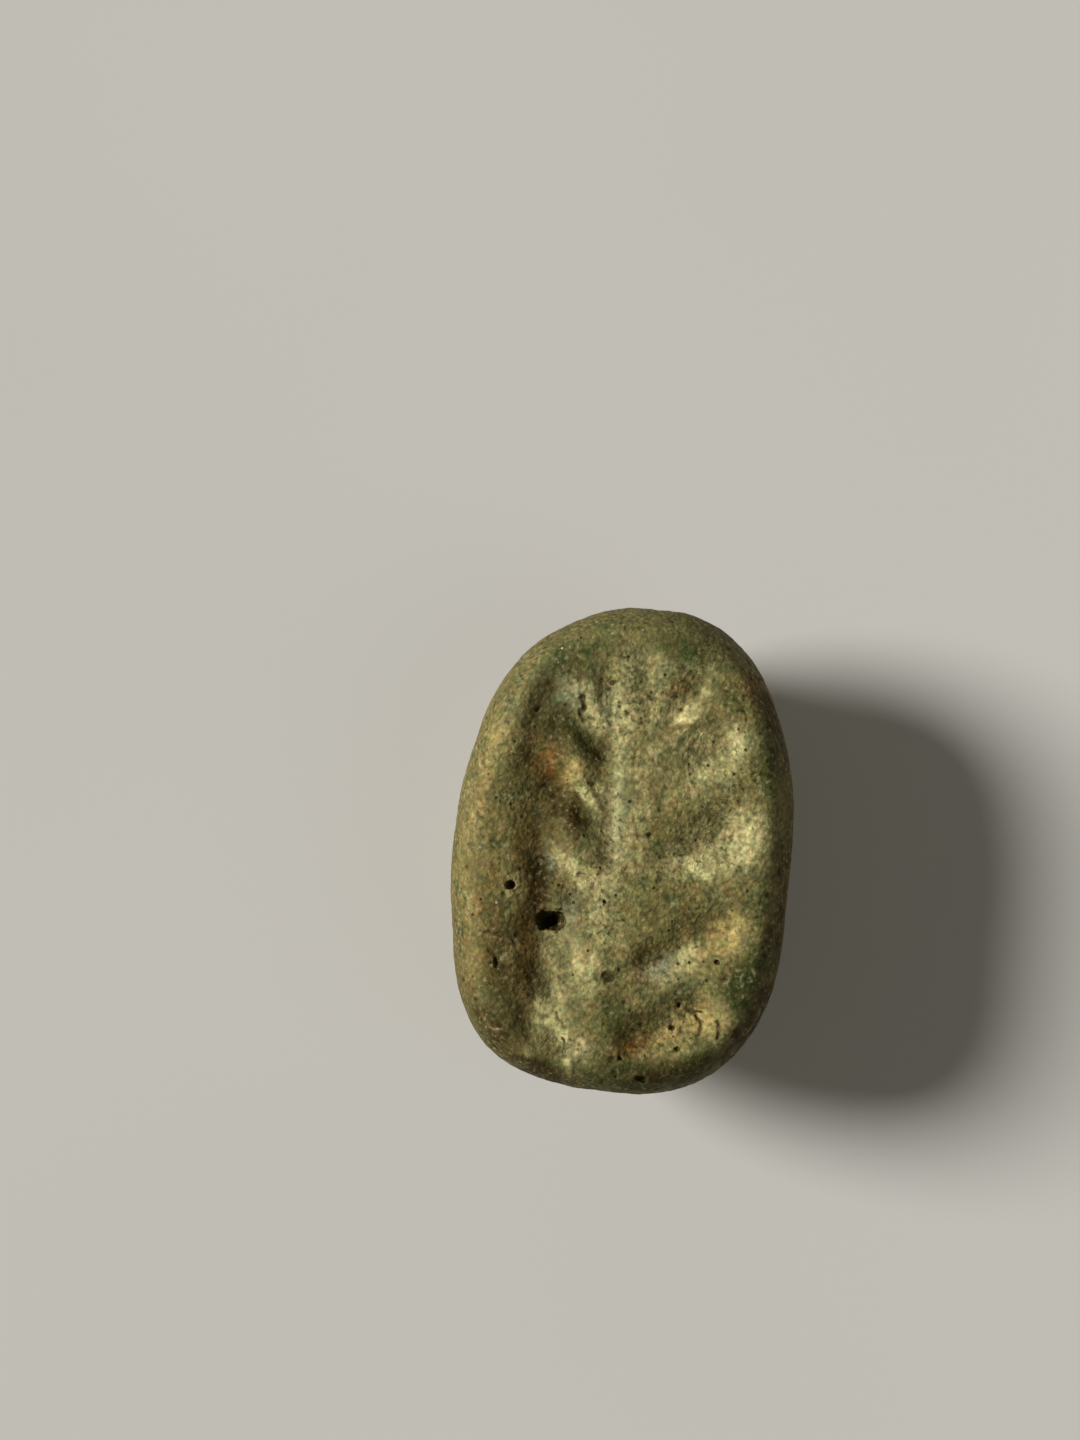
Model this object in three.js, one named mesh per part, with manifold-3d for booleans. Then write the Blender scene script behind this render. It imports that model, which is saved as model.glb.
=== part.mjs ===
// A scarab seal: a small moulded amulet with a beetle's back on one side and a sealing face on the other.
// Millimetres, +Z up. It lies on the worn crown of the beetle's back, so the sealing face looks up.
// +Y is the beetle's head end. The origin is on the rest flat, under the middle of the plan.

import * as THREE from "three";
import Module from "manifold-3d";
import { mergeVertices } from "three/addons/utils/BufferGeometryUtils.js";

const { radToDeg, euclideanModulo, lerp, clamp, smoothstep } = THREE.MathUtils;

// ---- Driving dimensions ----

const WIDTH = 11.3;
const LENGTH = 16.24;
const HEIGHT = 7.6; // rest flat to sealing face

// The plan is a superellipse, slimmer at the head end and squarer at the tail end.
const HEAD_SQUARENESS = 2.2;
const TAIL_SQUARENESS = 2.8;
const WAIST_BLEND = 0.35; // how far round the waist one end's shape runs into the other's

// Where wear and the mould left the outline fuller (+) or slimmer (-): degrees anticlockwise from +X, and mm.
const OUTLINE_WEAR = [
  { at: 66, spread: 18, bulge: 0.17 },
  { at: 106, spread: 12, bulge: -0.13 },
  { at: 152, spread: 12, bulge: -0.09 },
  { at: 212, spread: 12, bulge: -0.13 },
  { at: 256, spread: 10, bulge: -0.1 },
  { at: 320, spread: 18, bulge: 0.17 },
];

// The face is flat inside EDGE_REACH of the outline and rolls down from there.
const EDGE_REACH = 1.1;
const EDGE_DROP = 0.9; // how far below the field the roll would be at the outline itself
const EDGE_ROLL = 2;

// Section of the flank, from where the face's roll leaves off down to where the domed back springs.
// inset is measured in from the outline, z up from the rest flat.
const FACE_INSET = 0.7;
const FLANK_SECTION = [
  { inset: FACE_INSET, z: faceHeight(FACE_INSET) },
  { inset: 0.22, z: 6.8 },
  { inset: 0, z: 5.85 },
  { inset: 0.08, z: 5.05 },
  { inset: 0.26, z: 4.45 },
  { inset: 0.47, z: 3.95 },
  { inset: 0.7, z: 3.5 },
  { inset: 0.95, z: 3.05 },
];
const DOME_SQUARENESS = 2.2; // 2 is an ellipse, more is flatter on top and steeper at the side
const REST_WEAR = 0.12; // how much of the dome's crown is worn to the rest flat
const WORN_CLEAN = 0.35; // wear has taken the back's lines away below this height

const BORE_RADIUS = 0.8;
const BORE_Z = 4.3;
const BORE_MOUTH_RADIUS = 1.05; // where the thread has worn the mouth wider
const BORE_MOUTH_DEPTH = 0.5;
const END_FLAT_Y = 8.06; // both ends are worn to a flat at this distance from the middle

// A groove runs from root to tip, with its half-width and its depth at each. bow is how far its middle
// swings to the left of the line from root to tip. lean makes its left side deeper (+) or its right side (-),
// as a share of the depth.
// The frond on the sealing face, [x, y] seen from above.
const FROND = [
  { root: [-0.65, -0.2], tip: [-1.2, 5.5], width: [0.8, 0.9], depth: [0.34, 0.26], lean: -0.8 }, // stem
  { root: [-1.1, 3.3], tip: [-2.1, 4.2], width: [0.75, 0.85], depth: [0.5, 0.4] },
  { root: [-0.9, 0.9], tip: [-2.4, 2], width: [0.6, 0.8], depth: [0.48, 0.45] },
  { root: [-1.4, -1.9], tip: [-2.55, -0.6], width: [0.8, 0.85], depth: [0.45, 0.45] },
  { root: [-1.9, -4.8], tip: [-2.25, -2.9], width: [1.45, 1.45], depth: [0.58, 0.55] },
  { root: [-1.5, -6.7], tip: [-2.4, -5.8], width: [0.8, 0.9], depth: [0.45, 0.38] },
  { root: [0.1, 5.3], tip: [0.1, 6.2], width: [0.5, 0.5], depth: [0.12, 0.15], lean: -0.7 },
  { root: [0.85, 4.4], tip: [1.85, 5.7], width: [0.6, 0.75], depth: [0.28, 0.24], lean: -0.6 },
  { root: [1.4, 2.6], tip: [2.5, 3.75], width: [0.8, 1.15], depth: [0.18, 0.46], lean: -0.6 },
  { root: [1.4, 0.2], tip: [3, 0.85], width: [0.95, 1.45], depth: [0.3, 0.62], lean: -0.7 },
  { root: [1.25, -3.5], tip: [3.15, -2.4], width: [0.85, 1.3], depth: [0.42, 0.52], lean: -0.6 },
  { root: [0.95, -6.1], tip: [2.9, -5.1], width: [0.8, 1.2], depth: [0.42, 0.54], lean: -0.5 },
  { root: [-2.9, -2], tip: [-2.9, 4.5], width: [1.1, 1], depth: [0.28, 0.24] }, // along the left rim
];

// The beetle's lines on the back, [x, y] in plan. Those off the middle are cut on both sides.
const BACK_LINES = [
  // behind the thorax
  { root: [-4.4, 2.4], tip: [4.4, 2.4], width: [0.6, 0.6], depth: [0.32, 0.32], bow: -0.6 },
  // neck
  { root: [-2.6, 5.2], tip: [2.6, 5.2], width: [0.6, 0.6], depth: [0.3, 0.3], bow: -0.5 },
  // between the wing cases
  { root: [0, 1.6], tip: [0, -7], width: [0.5, 0.5], depth: [0.26, 0.26] },
];
const PAIRED_BACK_LINES = [
  // between head and cheek
  { root: [1.5, 5.1], tip: [1.1, 7], width: [0.45, 0.45], depth: [0.24, 0.24] },
  // along the rim of the wing case
  { root: [4, 1.4], tip: [2.3, -6.4], width: [0.45, 0.45], depth: [0.2, 0.2], bow: 0.8 },
];

// On each flank, [y, z]: the hollow between base and body, and the legs folded in it. A leg's depth is the
// share of the hollow that it fills.
const FLANK_HOLLOW = { root: [-6.6, 4.3], tip: [6.6, 4.3], width: [1.15, 1.15], depth: [0.55, 0.55] };
const LEGS = [
  { root: [2.7, 3.6], tip: [6.4, 4.8], width: [0.75, 0.6], depth: [0.9, 0.9] },
  { root: [2.1, 3.6], tip: [-1.7, 4.8], width: [0.75, 0.6], depth: [0.9, 0.9] },
  { root: [-2, 3.6], tip: [-6.2, 4.8], width: [0.75, 0.6], depth: [0.9, 0.9] },
];

// Where the face's largest gas bubble broke open.
const OPEN_BUBBLE = { root: [-2.36, -2.6], tip: [-2.1, -2.55], width: [0.45, 0.45], depth: [0.55, 0.55] };

const CELLS = 36; // the face and the back are each CELLS x CELLS quads
const FLANK_RINGS = 14;

const FAIENCE = new THREE.MeshStandardMaterial({ color: 0x8f8556, roughness: 0.62, metalness: 0 });

// ---- The blank ----

// Distance from the middle to the outline in the direction of angle.
function outlineRadius(angle) {
  const towardsHead = 0.5 + 0.5 * Math.tanh(Math.sin(angle) / WAIST_BLEND);
  const power = lerp(TAIL_SQUARENESS, HEAD_SQUARENESS, towardsHead);
  const across = Math.abs(Math.cos(angle) / (WIDTH / 2)) ** power;
  const along = Math.abs(Math.sin(angle) / (LENGTH / 2)) ** power;
  const wear = OUTLINE_WEAR.map(({ at, spread, bulge }) => {
    const off = euclideanModulo(radToDeg(angle) - at + 180, 360) - 180;
    return bulge * Math.exp(-((off / spread) ** 2));
  });
  return (across + along) ** (-1 / power) + wear.reduce((sum, w) => sum + w, 0);
}

// Plan point on the line around the seal that lies inset from its outline. turn is anticlockwise, in radians.
function planPoint(turn, inset, scale = 1) {
  const angle = Math.atan2(LENGTH * Math.sin(turn), WIDTH * Math.cos(turn));
  const reach = (outlineRadius(angle) - inset) * scale;
  return [reach * Math.cos(angle), reach * Math.sin(angle)];
}

// A square grid laid on a disc: column and row become how far out (0 to 1) and the turn around it.
function discPlace(column, row) {
  const a = (2 * column) / CELLS - 1;
  const b = (2 * row) / CELLS - 1;
  const out = Math.max(Math.abs(a), Math.abs(b));
  if (out === 0) return { out, turn: 0 };
  if (Math.abs(a) > Math.abs(b)) {
    return { out, turn: (Math.PI / 4) * (b / a) + (a < 0 ? Math.PI : 0) };
  }
  return { out, turn: Math.PI / 2 - (Math.PI / 4) * (a / b) + (b < 0 ? Math.PI : 0) };
}

// Height of the uncarved face at an inset from the outline.
function faceHeight(inset) {
  return HEIGHT - EDGE_DROP * Math.max(1 - inset / EDGE_REACH, 0) ** EDGE_ROLL;
}

function facePoint({ out, turn }) {
  const [x, y] = planPoint(turn, FACE_INSET, out);
  return [x, y, faceHeight(outlineRadius(Math.atan2(y, x)) - Math.hypot(x, y))];
}

function backPoint({ out, turn }) {
  const spring = FLANK_SECTION.at(-1);
  const round = 2 / DOME_SQUARENESS;
  const rise = 1 - Math.cos((out * Math.PI) / 2) ** round;
  const z = lerp(-REST_WEAR, spring.z, rise);
  return [...planPoint(turn, spring.inset, Math.sin((out * Math.PI) / 2) ** round), Math.max(z, 0)];
}

// The grid's outer cells in order, anticlockwise from its first corner.
function gridBorder() {
  const steps = Array.from({ length: CELLS }, (_, i) => i);
  return [
    ...steps.map((i) => [i, 0]),
    ...steps.map((i) => [CELLS, i]),
    ...steps.map((i) => [CELLS - i, CELLS]),
    ...steps.map((i) => [0, CELLS - i]),
  ];
}

// The uncarved blank as points and four-sided cells: a grid for the face, rings down the flank and a grid
// for the back.
function blank() {
  const points = [];
  const cells = [];
  const add = (point) => points.push(new THREE.Vector3(...point)) - 1;
  const grid = (pointAt) =>
    Array.from({ length: CELLS + 1 }, (_, column) =>
      Array.from({ length: CELLS + 1 }, (_, row) => add(pointAt(discPlace(column, row)))),
    );

  const face = grid(facePoint);
  const back = grid(backPoint);
  for (let c = 0; c < CELLS; c++) {
    for (let r = 0; r < CELLS; r++) {
      cells.push([face[c][r], face[c + 1][r], face[c + 1][r + 1], face[c][r + 1]]);
      cells.push([back[c][r], back[c][r + 1], back[c + 1][r + 1], back[c + 1][r]]);
    }
  }

  const section = new THREE.SplineCurve(FLANK_SECTION.map(({ inset, z }) => new THREE.Vector2(inset, z)));
  const border = gridBorder();
  const rings = section.getPoints(FLANK_RINGS).map(({ x: inset, y: z }, k) => {
    if (k === 0) return border.map(([c, r]) => face[c][r]);
    if (k === FLANK_RINGS) return border.map(([c, r]) => back[c][r]);
    return border.map(([c, r]) => add([...planPoint(discPlace(c, r).turn, inset), z]));
  });
  for (let k = 0; k < FLANK_RINGS; k++) {
    border.forEach((_, i) => {
      const next = (i + 1) % border.length;
      cells.push([rings[k][i], rings[k + 1][i], rings[k + 1][next], rings[k][next]]);
    });
  }
  return { points, cells };
}

// Splits a cell across the diagonal that folds it least.
function splitCell(points, [a, b, c, d]) {
  const facing = (...corners) => {
    const triangle = new THREE.Triangle(...corners.map((i) => points[i]));
    return triangle.getNormal(new THREE.Vector3());
  };
  const acrossAC = facing(a, b, c).dot(facing(a, c, d));
  const acrossBD = facing(a, b, d).dot(facing(b, c, d));
  return acrossAC >= acrossBD ? [a, b, c, a, c, d] : [a, b, d, b, c, d];
}

function geometryFrom({ points, cells }) {
  const geometry = new THREE.BufferGeometry().setFromPoints(points);
  geometry.setIndex(cells.flatMap((cell) => splitCell(points, cell)));
  geometry.computeVertexNormals();
  return geometry;
}

// ---- Carving ----

// Depth of one groove at (u, v): full on its centre line, easing to nothing at its half-width.
function grooveDepth({ root, tip, width, depth, bow = 0, lean = 0 }, u, v) {
  const run = Math.hypot(tip[0] - root[0], tip[1] - root[1]);
  const [du, dv] = [(tip[0] - root[0]) / run, (tip[1] - root[1]) / run];
  const along = ((u - root[0]) * du + (v - root[1]) * dv) / run;
  const share = clamp(along, 0, 1);
  const across = (v - root[1]) * du - (u - root[0]) * dv - bow * 4 * share * (1 - share);
  const halfWidth = lerp(...width, share);
  const off = Math.hypot(across, (along - share) * run) / halfWidth;
  if (off >= 1) return 0;
  return lerp(...depth, share) * (1 - off ** 2) ** 2 * (1 + (lean * across) / halfWidth);
}

// Grooves that cross run together softly, and never get deeper than this.
const DEEPEST = 0.9;

function carvedDepth(grooves, u, v) {
  return grooves.reduce((depth, groove) => depth + grooveDepth(groove, u, v) * (1 - depth / DEEPEST), 0);
}

function mirrored(groove) {
  const { root, tip, bow = 0 } = groove;
  return { ...groove, root: [-root[0], root[1]], tip: [-tip[0], tip[1]], bow: -bow };
}

const FACE_CARVING = [...FROND, OPEN_BUBBLE];
const BACK_CARVING = [...BACK_LINES, ...PAIRED_BACK_LINES, ...PAIRED_BACK_LINES.map(mirrored)];

// Depth to carve at a point of the blank, by which way its surface looks.
function depthAt(point, normal) {
  const face = smoothstep(normal.z, 0.3, 0.7) * carvedDepth(FACE_CARVING, point.x, point.y);
  const kept = smoothstep(-normal.z, 0.1, 0.5) * smoothstep(point.z, 0, WORN_CLEAN);
  const back = kept * carvedDepth(BACK_CARVING, point.x, point.y);
  const hollow = carvedDepth([FLANK_HOLLOW], point.y, point.z) * (1 - carvedDepth(LEGS, point.y, point.z));
  const flank = smoothstep(Math.abs(normal.x), 0.25, 0.6) * hollow;
  return face + back + flank;
}

function carve({ points, cells }) {
  const { normal } = geometryFrom({ points, cells }).attributes;
  const carved = points.map((point, i) => {
    const outward = new THREE.Vector3().fromBufferAttribute(normal, i);
    return point.clone().addScaledVector(outward, -depthAt(point, outward));
  });
  return { points: carved, cells };
}

// ---- Solids ----

const wasm = await Module();
wasm.setup();

function solidOf(geometry) {
  const shared = geometry.clone();
  shared.deleteAttribute("normal");
  shared.deleteAttribute("uv");
  const merged = mergeVertices(shared, 1e-4);
  return new wasm.Manifold(
    new wasm.Mesh({
      numProp: 3,
      vertProperties: merged.attributes.position.array,
      triVerts: new Uint32Array(merged.index.array),
    }),
  );
}

function geometryOf(solid) {
  const mesh = solid.getMesh();
  const geometry = new THREE.BufferGeometry();
  geometry.setAttribute("position", new THREE.BufferAttribute(mesh.vertProperties, 3));
  geometry.setIndex(new THREE.BufferAttribute(mesh.triVerts, 1));
  geometry.computeVertexNormals();
  return geometry;
}

// The lengthwise bore for a cord or ring wire, with its mouths worn wider.
function boreSolid() {
  const shaft = new THREE.CylinderGeometry(BORE_RADIUS, BORE_RADIUS, LENGTH * 1.2, 20);
  const bore = solidOf(shaft.translate(0, 0, BORE_Z));
  const mouths = [1, -1].map((end) => {
    const flare = new THREE.CylinderGeometry(BORE_MOUTH_RADIUS, BORE_RADIUS, BORE_MOUTH_DEPTH, 20);
    if (end < 0) flare.rotateX(Math.PI);
    return solidOf(flare.translate(0, end * (END_FLAT_Y - BORE_MOUTH_DEPTH / 2), BORE_Z));
  });
  return mouths.reduce((all, mouth) => all.add(mouth), bore);
}

// What lies past the worn flat at one end.
function pastEnd(end) {
  const depth = LENGTH / 2;
  const block = new THREE.BoxGeometry(WIDTH * 2, depth, HEIGHT * 3);
  return solidOf(block.translate(0, end * (END_FLAT_Y + depth / 2), 0));
}

function scarabSeal() {
  const body = solidOf(geometryFrom(carve(blank())));
  const solid = body.subtract(boreSolid()).subtract(pastEnd(1)).subtract(pastEnd(-1));
  const geometry = geometryOf(solid);
  geometry.computeBoundingBox();
  const middle = geometry.boundingBox.getCenter(new THREE.Vector3());
  geometry.translate(-middle.x, -middle.y, -geometry.boundingBox.min.z);
  const mesh = new THREE.Mesh(geometry, FAIENCE);
  mesh.name = "scarab_seal";
  return mesh;
}

const part = new THREE.Group();
part.add(scarabSeal());

export default part;
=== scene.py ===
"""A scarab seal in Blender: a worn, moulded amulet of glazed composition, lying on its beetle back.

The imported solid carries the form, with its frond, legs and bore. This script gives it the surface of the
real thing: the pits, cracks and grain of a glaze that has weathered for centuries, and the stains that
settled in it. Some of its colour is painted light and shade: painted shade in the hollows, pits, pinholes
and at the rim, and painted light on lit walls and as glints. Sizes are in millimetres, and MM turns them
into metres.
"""

from __future__ import annotations

import logging
import math
import random
from collections import defaultdict
from dataclasses import dataclass, field
from enum import Enum, IntEnum
from typing import Any

import bmesh
import bpy
import numpy as np
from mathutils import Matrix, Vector, noise
from mathutils.kdtree import KDTree

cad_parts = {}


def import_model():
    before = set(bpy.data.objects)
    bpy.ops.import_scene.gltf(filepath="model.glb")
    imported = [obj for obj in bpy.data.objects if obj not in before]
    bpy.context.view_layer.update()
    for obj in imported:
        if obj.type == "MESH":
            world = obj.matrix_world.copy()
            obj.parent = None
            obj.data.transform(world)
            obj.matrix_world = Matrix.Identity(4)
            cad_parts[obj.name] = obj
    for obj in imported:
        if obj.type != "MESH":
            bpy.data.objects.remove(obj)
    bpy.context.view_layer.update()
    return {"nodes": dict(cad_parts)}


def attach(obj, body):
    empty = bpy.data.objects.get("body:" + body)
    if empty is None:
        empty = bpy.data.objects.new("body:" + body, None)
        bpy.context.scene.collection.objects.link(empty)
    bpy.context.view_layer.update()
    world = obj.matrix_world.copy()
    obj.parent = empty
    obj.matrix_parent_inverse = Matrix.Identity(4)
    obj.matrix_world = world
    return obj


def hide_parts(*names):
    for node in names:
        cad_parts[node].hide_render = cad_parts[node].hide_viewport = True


MM = 0.001
NODE = "scarab_seal"

log = logging.getLogger("scarab_seal")

Point = tuple[float, float]


# ---- Small helpers ----


def srgb(hex_colour: str) -> tuple[float, float, float, float]:
    """Turns an sRGB hex colour into Blender's linear RGBA.

    Args:
        hex_colour: The colour, such as "#8a8158".

    Returns:
        Linear red, green, blue and an alpha of one.
    """
    shares = [int(hex_colour[i : i + 2], 16) / 255 for i in (1, 3, 5)]
    linear = [s / 12.92 if s <= 0.04045 else ((s + 0.055) / 1.055) ** 2.4 for s in shares]
    return (*linear, 1.0)


def add_node(
    tree: bpy.types.NodeTree, kind: str, inputs: dict[Any, Any] | None = None, **settings: Any
) -> bpy.types.Node:
    """Adds a node to a tree, with its settings, values and links.

    Args:
        tree: The node tree.
        kind: The node's type name.
        inputs: Socket name or number to a value, or to the output socket that feeds it.
        **settings: Properties of the node itself.

    Returns:
        The new node.
    """
    node = tree.nodes.new(kind)
    for name, value in settings.items():
        setattr(node, name, value)
    for socket, value in (inputs or {}).items():
        if isinstance(value, bpy.types.NodeSocket):
            tree.links.new(value, node.inputs[socket])
        else:
            node.inputs[socket].default_value = value
    return node


def select_only(piece: bpy.types.Object) -> None:
    """Makes one object the only one selected, and the active one.

    Args:
        piece: The object.
    """
    bpy.ops.object.select_all(action="DESELECT")
    piece.select_set(True)
    bpy.context.view_layer.objects.active = piece


def open_for_edit(piece: bpy.types.Object, chosen: np.ndarray | None = None) -> None:
    """Opens a piece in edit mode, with some or all of its faces selected.

    Args:
        piece: The piece.
        chosen: Whether each face is selected. Without it, all of them are.
    """
    select_only(piece)
    bpy.ops.object.mode_set(mode="EDIT")
    bpy.ops.mesh.select_mode(type="FACE")
    if chosen is None:
        bpy.ops.mesh.select_all(action="SELECT")
        return
    bpy.ops.mesh.select_all(action="DESELECT")
    bpy.ops.object.mode_set(mode="OBJECT")
    piece.data.polygons.foreach_set("select", chosen)
    bpy.ops.object.mode_set(mode="EDIT")


def close_edit() -> None:
    """Deselects everything and leaves edit mode."""
    bpy.ops.mesh.select_all(action="DESELECT")
    bpy.ops.object.mode_set(mode="OBJECT")


def read_points(mesh: bpy.types.Mesh) -> np.ndarray:
    """Reads a mesh's vertices.

    Args:
        mesh: The mesh.

    Returns:
        Rows of x, y, z in millimetres.
    """
    flat = np.empty(len(mesh.vertices) * 3)
    mesh.vertices.foreach_get("co", flat)
    return flat.reshape(-1, 3) / MM


def read_normals(mesh: bpy.types.Mesh) -> np.ndarray:
    """Reads a mesh's vertex normals.

    Args:
        mesh: The mesh.

    Returns:
        Rows of x, y, z.
    """
    flat = np.empty(len(mesh.vertices) * 3, dtype=np.float32)
    mesh.vertex_normals.foreach_get("vector", flat)
    return flat.reshape(-1, 3).astype(float)


def read_faces(mesh: bpy.types.Mesh) -> tuple[np.ndarray, np.ndarray]:
    """Reads where a mesh's faces lie and which way they look.

    Args:
        mesh: The mesh.

    Returns:
        Rows of each face's middle in millimetres, and rows of its normal.
    """
    middles = np.empty(len(mesh.polygons) * 3)
    mesh.polygons.foreach_get("center", middles)
    normals = np.empty(len(mesh.polygons) * 3)
    mesh.polygons.foreach_get("normal", normals)
    return middles.reshape(-1, 3) / MM, normals.reshape(-1, 3)


def write_points(mesh: bpy.types.Mesh, points: np.ndarray) -> None:
    """Puts points back as a mesh's vertices.

    Args:
        mesh: The mesh.
        points: Rows of x, y, z in millimetres.
    """
    mesh.vertices.foreach_set("co", (points * MM).ravel())
    mesh.update()


def ramp(values: np.ndarray, start: float, end: float) -> np.ndarray:
    """Turns values into shares that run from zero at start to one at end, and no further."""
    return np.clip((values - start) / (end - start), 0, 1)


def neighbour_mean(mesh: bpy.types.Mesh, values: np.ndarray, rounds: int) -> np.ndarray:
    """Smooths values over a mesh by averaging each vertex with its neighbours.

    Args:
        mesh: The mesh whose edges say which vertices are neighbours.
        values: One row per vertex.
        rounds: How many times to average. More reaches further.

    Returns:
        The smoothed rows.
    """
    edges = np.empty(len(mesh.edges) * 2, dtype=np.int64)
    mesh.edges.foreach_get("vertices", edges)
    a, b = edges.reshape(-1, 2).T
    count = len(mesh.vertices)
    neighbours = np.maximum(np.bincount(a, minlength=count) + np.bincount(b, minlength=count), 1)
    smooth = values.astype(float)
    for _ in range(rounds):
        columns = [
            (np.bincount(a, column[b], count) + np.bincount(b, column[a], count)) / neighbours
            for column in smooth.T
        ]
        smooth = 0.5 * smooth + 0.5 * np.stack(columns, axis=1)
    return smooth


def put_in_order(mesh: bpy.types.Mesh) -> None:
    """Puts a mesh's corners and faces in an order that follows from their places alone.

    A cut gives the same faces each time, but in no set order, and the later steps go by that order.

    Args:
        mesh: The mesh to put in order.
    """
    places = [tuple(corner.co) for corner in mesh.vertices]
    order = sorted(range(len(places)), key=places.__getitem__)
    rank = {old: new for new, old in enumerate(order)}
    faces = []
    for face in mesh.polygons:
        ring = [rank[corner] for corner in face.vertices]
        first = ring.index(min(ring))
        faces.append(ring[first:] + ring[:first])
    mesh.clear_geometry()
    mesh.from_pydata([places[old] for old in order], [], sorted(faces))


def drop_folds(mesh: bpy.types.Mesh, reach: float) -> None:
    """Clears what a cut leaves: corners on no more than two edges, and slivers folded on each other.

    Faces with a very short side are made triangles first, which brings such slivers out.

    Args:
        mesh: The mesh to clean.
        reach: Length in millimetres below which a side is very short.
    """
    shape = bmesh.new()
    shape.from_mesh(mesh)
    loose = [corner for corner in shape.verts if len(corner.link_edges) == 2]
    bmesh.ops.dissolve_verts(shape, verts=loose)
    narrow = [face for face in shape.faces if min(edge.calc_length() for edge in face.edges) < reach * MM]
    bmesh.ops.triangulate(shape, faces=narrow)
    alike = defaultdict(list)
    for face in shape.faces:
        alike[frozenset(face.verts)].append(face)
    folded = [face for faces in alike.values() if len(faces) > 1 for face in faces]
    log.info("%d folded slivers dropped", len(folded))
    bmesh.ops.delete(shape, geom=folded, context="FACES")
    shape.to_mesh(mesh)
    shape.free()


class Pattern(IntEnum):
    """The separate noises of the surface. Each value shifts its noise, so that no two are alike."""

    SWELL = 1
    SMALL_SWELL = 2
    GRIT = 3
    FINE_GRIT = 4
    STAIN_EDGE_X = 5
    STAIN_EDGE_Y = 6
    GREEN_CLOUD = 8
    OCHRE_CLOUD = 9
    RAGGED_X = 11
    RAGGED_Y = 12


PATTERN_SHIFT = (17.3, 5.1, 9.7)


def soft_noise(points: np.ndarray, grain: float, pattern: Pattern) -> np.ndarray:
    """Gives smooth noise between -1 and 1 at each point.

    Args:
        points: Rows of x, y, z in millimetres.
        grain: Size of one bump in millimetres.
        pattern: Which noise.

    Returns:
        One value per point.
    """
    shift = Vector([pattern.value * step for step in PATTERN_SHIFT])
    return np.array([noise.noise(Vector(point) / grain + shift) for point in points])


def heading(turn: float) -> Point:
    """Gives the direction that lies turn degrees anticlockwise from +X."""
    return (math.cos(math.radians(turn)), math.sin(math.radians(turn)))


def along_and_across(
    x: np.ndarray, y: np.ndarray, start: Point, direction: Point
) -> tuple[np.ndarray, np.ndarray]:
    """Measures points of the face along a direction and to its left.

    Args:
        x: Place of each point across the face.
        y: Place of each point along it.
        start: Where the measure starts.
        direction: The direction, as a length of one.

    Returns:
        How far along and how far to the left each point lies.
    """
    dx, dy = x - start[0], y - start[1]
    return dx * direction[0] + dy * direction[1], -dx * direction[1] + dy * direction[0]


# ---- What the centuries did to the surface, with painted light and shade ----


class Stain(Enum):
    """What has settled on the glaze or leached out of it, with painted light in the bare body's colour and
    painted shade in the dirt's. Each value names a mesh attribute.
    """

    COPPER_GREEN = "stain_copper_green"
    IRON_RUST = "stain_iron_rust"
    OCHRE = "stain_ochre"
    BROWN_DIRT_AND_SHADE = "stain_brown_dirt_and_shade"
    BARE_CREAM_AND_LIGHT = "stain_bare_cream_and_light"
    LEACHED_BLUE = "stain_leached_blue"


FACE_EDGE = 0.2  # the face ends where its normal's rise falls below this
FACE_INSIDE = 0.5  # the normal's rise from which marks in the face have their full depth
STAINS_END, STAINS_INSIDE = -0.1, 0.3  # the same two for its stains, which run over the rim
RIM_INSIDE, RIM_FULL = 0.75, 0.35  # the rise at which the rim's painted shade sets in, and is full
RIM_FADING, RIM_END = 0.0, -0.3  # the rise at which it starts to fade, and is gone
LOOKS_ALONG = 0.8  # a normal with at least this share along the seal looks out of an end
STAIN_FADE = 1.4  # how quickly a stain thins out towards its reach
PIT_WALL = 1.35  # how soon a pit is at its full depth, inwards from its edge
PIT_LIP = 0.7  # below one, a pit's wall starts steep at the edge


@dataclass(frozen=True)
class StainPatch:
    """A soft-edged stain on the sealing face.

    Attributes:
        centre: Its middle, seen from above.
        reach: How far it spreads along and across its run.
        turn: Direction of its run in degrees, anticlockwise from +X.
        strength: Its share at the middle.
    """

    centre: Point
    reach: Point
    turn: float = 0.0
    strength: float = 1.0

    def cover(self, x: np.ndarray, y: np.ndarray) -> np.ndarray:
        """Gives the patch's share at each point of the face.

        Args:
            x: Place of each point across the face.
            y: Place of each point along it.

        Returns:
            One share per point.
        """
        along, across = along_and_across(x, y, self.centre, heading(self.turn))
        u, v = along / self.reach[0], across / self.reach[1]
        return self.strength * np.exp(-(u**2 + v**2) * STAIN_FADE)


@dataclass(frozen=True)
class Pit:
    """A gas bubble of the firing that broke open at the face.

    Attributes:
        centre: Its middle, seen from above.
        half_size: Half its length and half its width.
        depth: How deep it goes.
        turn: Direction of its length in degrees, anticlockwise from +X.
        squareness: Two is an ellipse, and more has straighter sides.
    """

    centre: Point
    half_size: Point
    depth: float
    turn: float = 0.0
    squareness: float = 2.0

    def depth_at(self, x: np.ndarray, y: np.ndarray) -> np.ndarray:
        """Gives how far the pit lowers each point of the face.

        Args:
            x: Place of each point across the face.
            y: Place of each point along it.

        Returns:
            One depth per point.
        """
        along, across = along_and_across(x, y, self.centre, heading(self.turn))
        u, v = np.abs(along) / self.half_size[0], np.abs(across) / self.half_size[1]
        out = (u**self.squareness + v**self.squareness) ** (1 / self.squareness)
        return self.depth * np.clip(PIT_WALL * (1 - out), 0, 1) ** PIT_LIP


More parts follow.
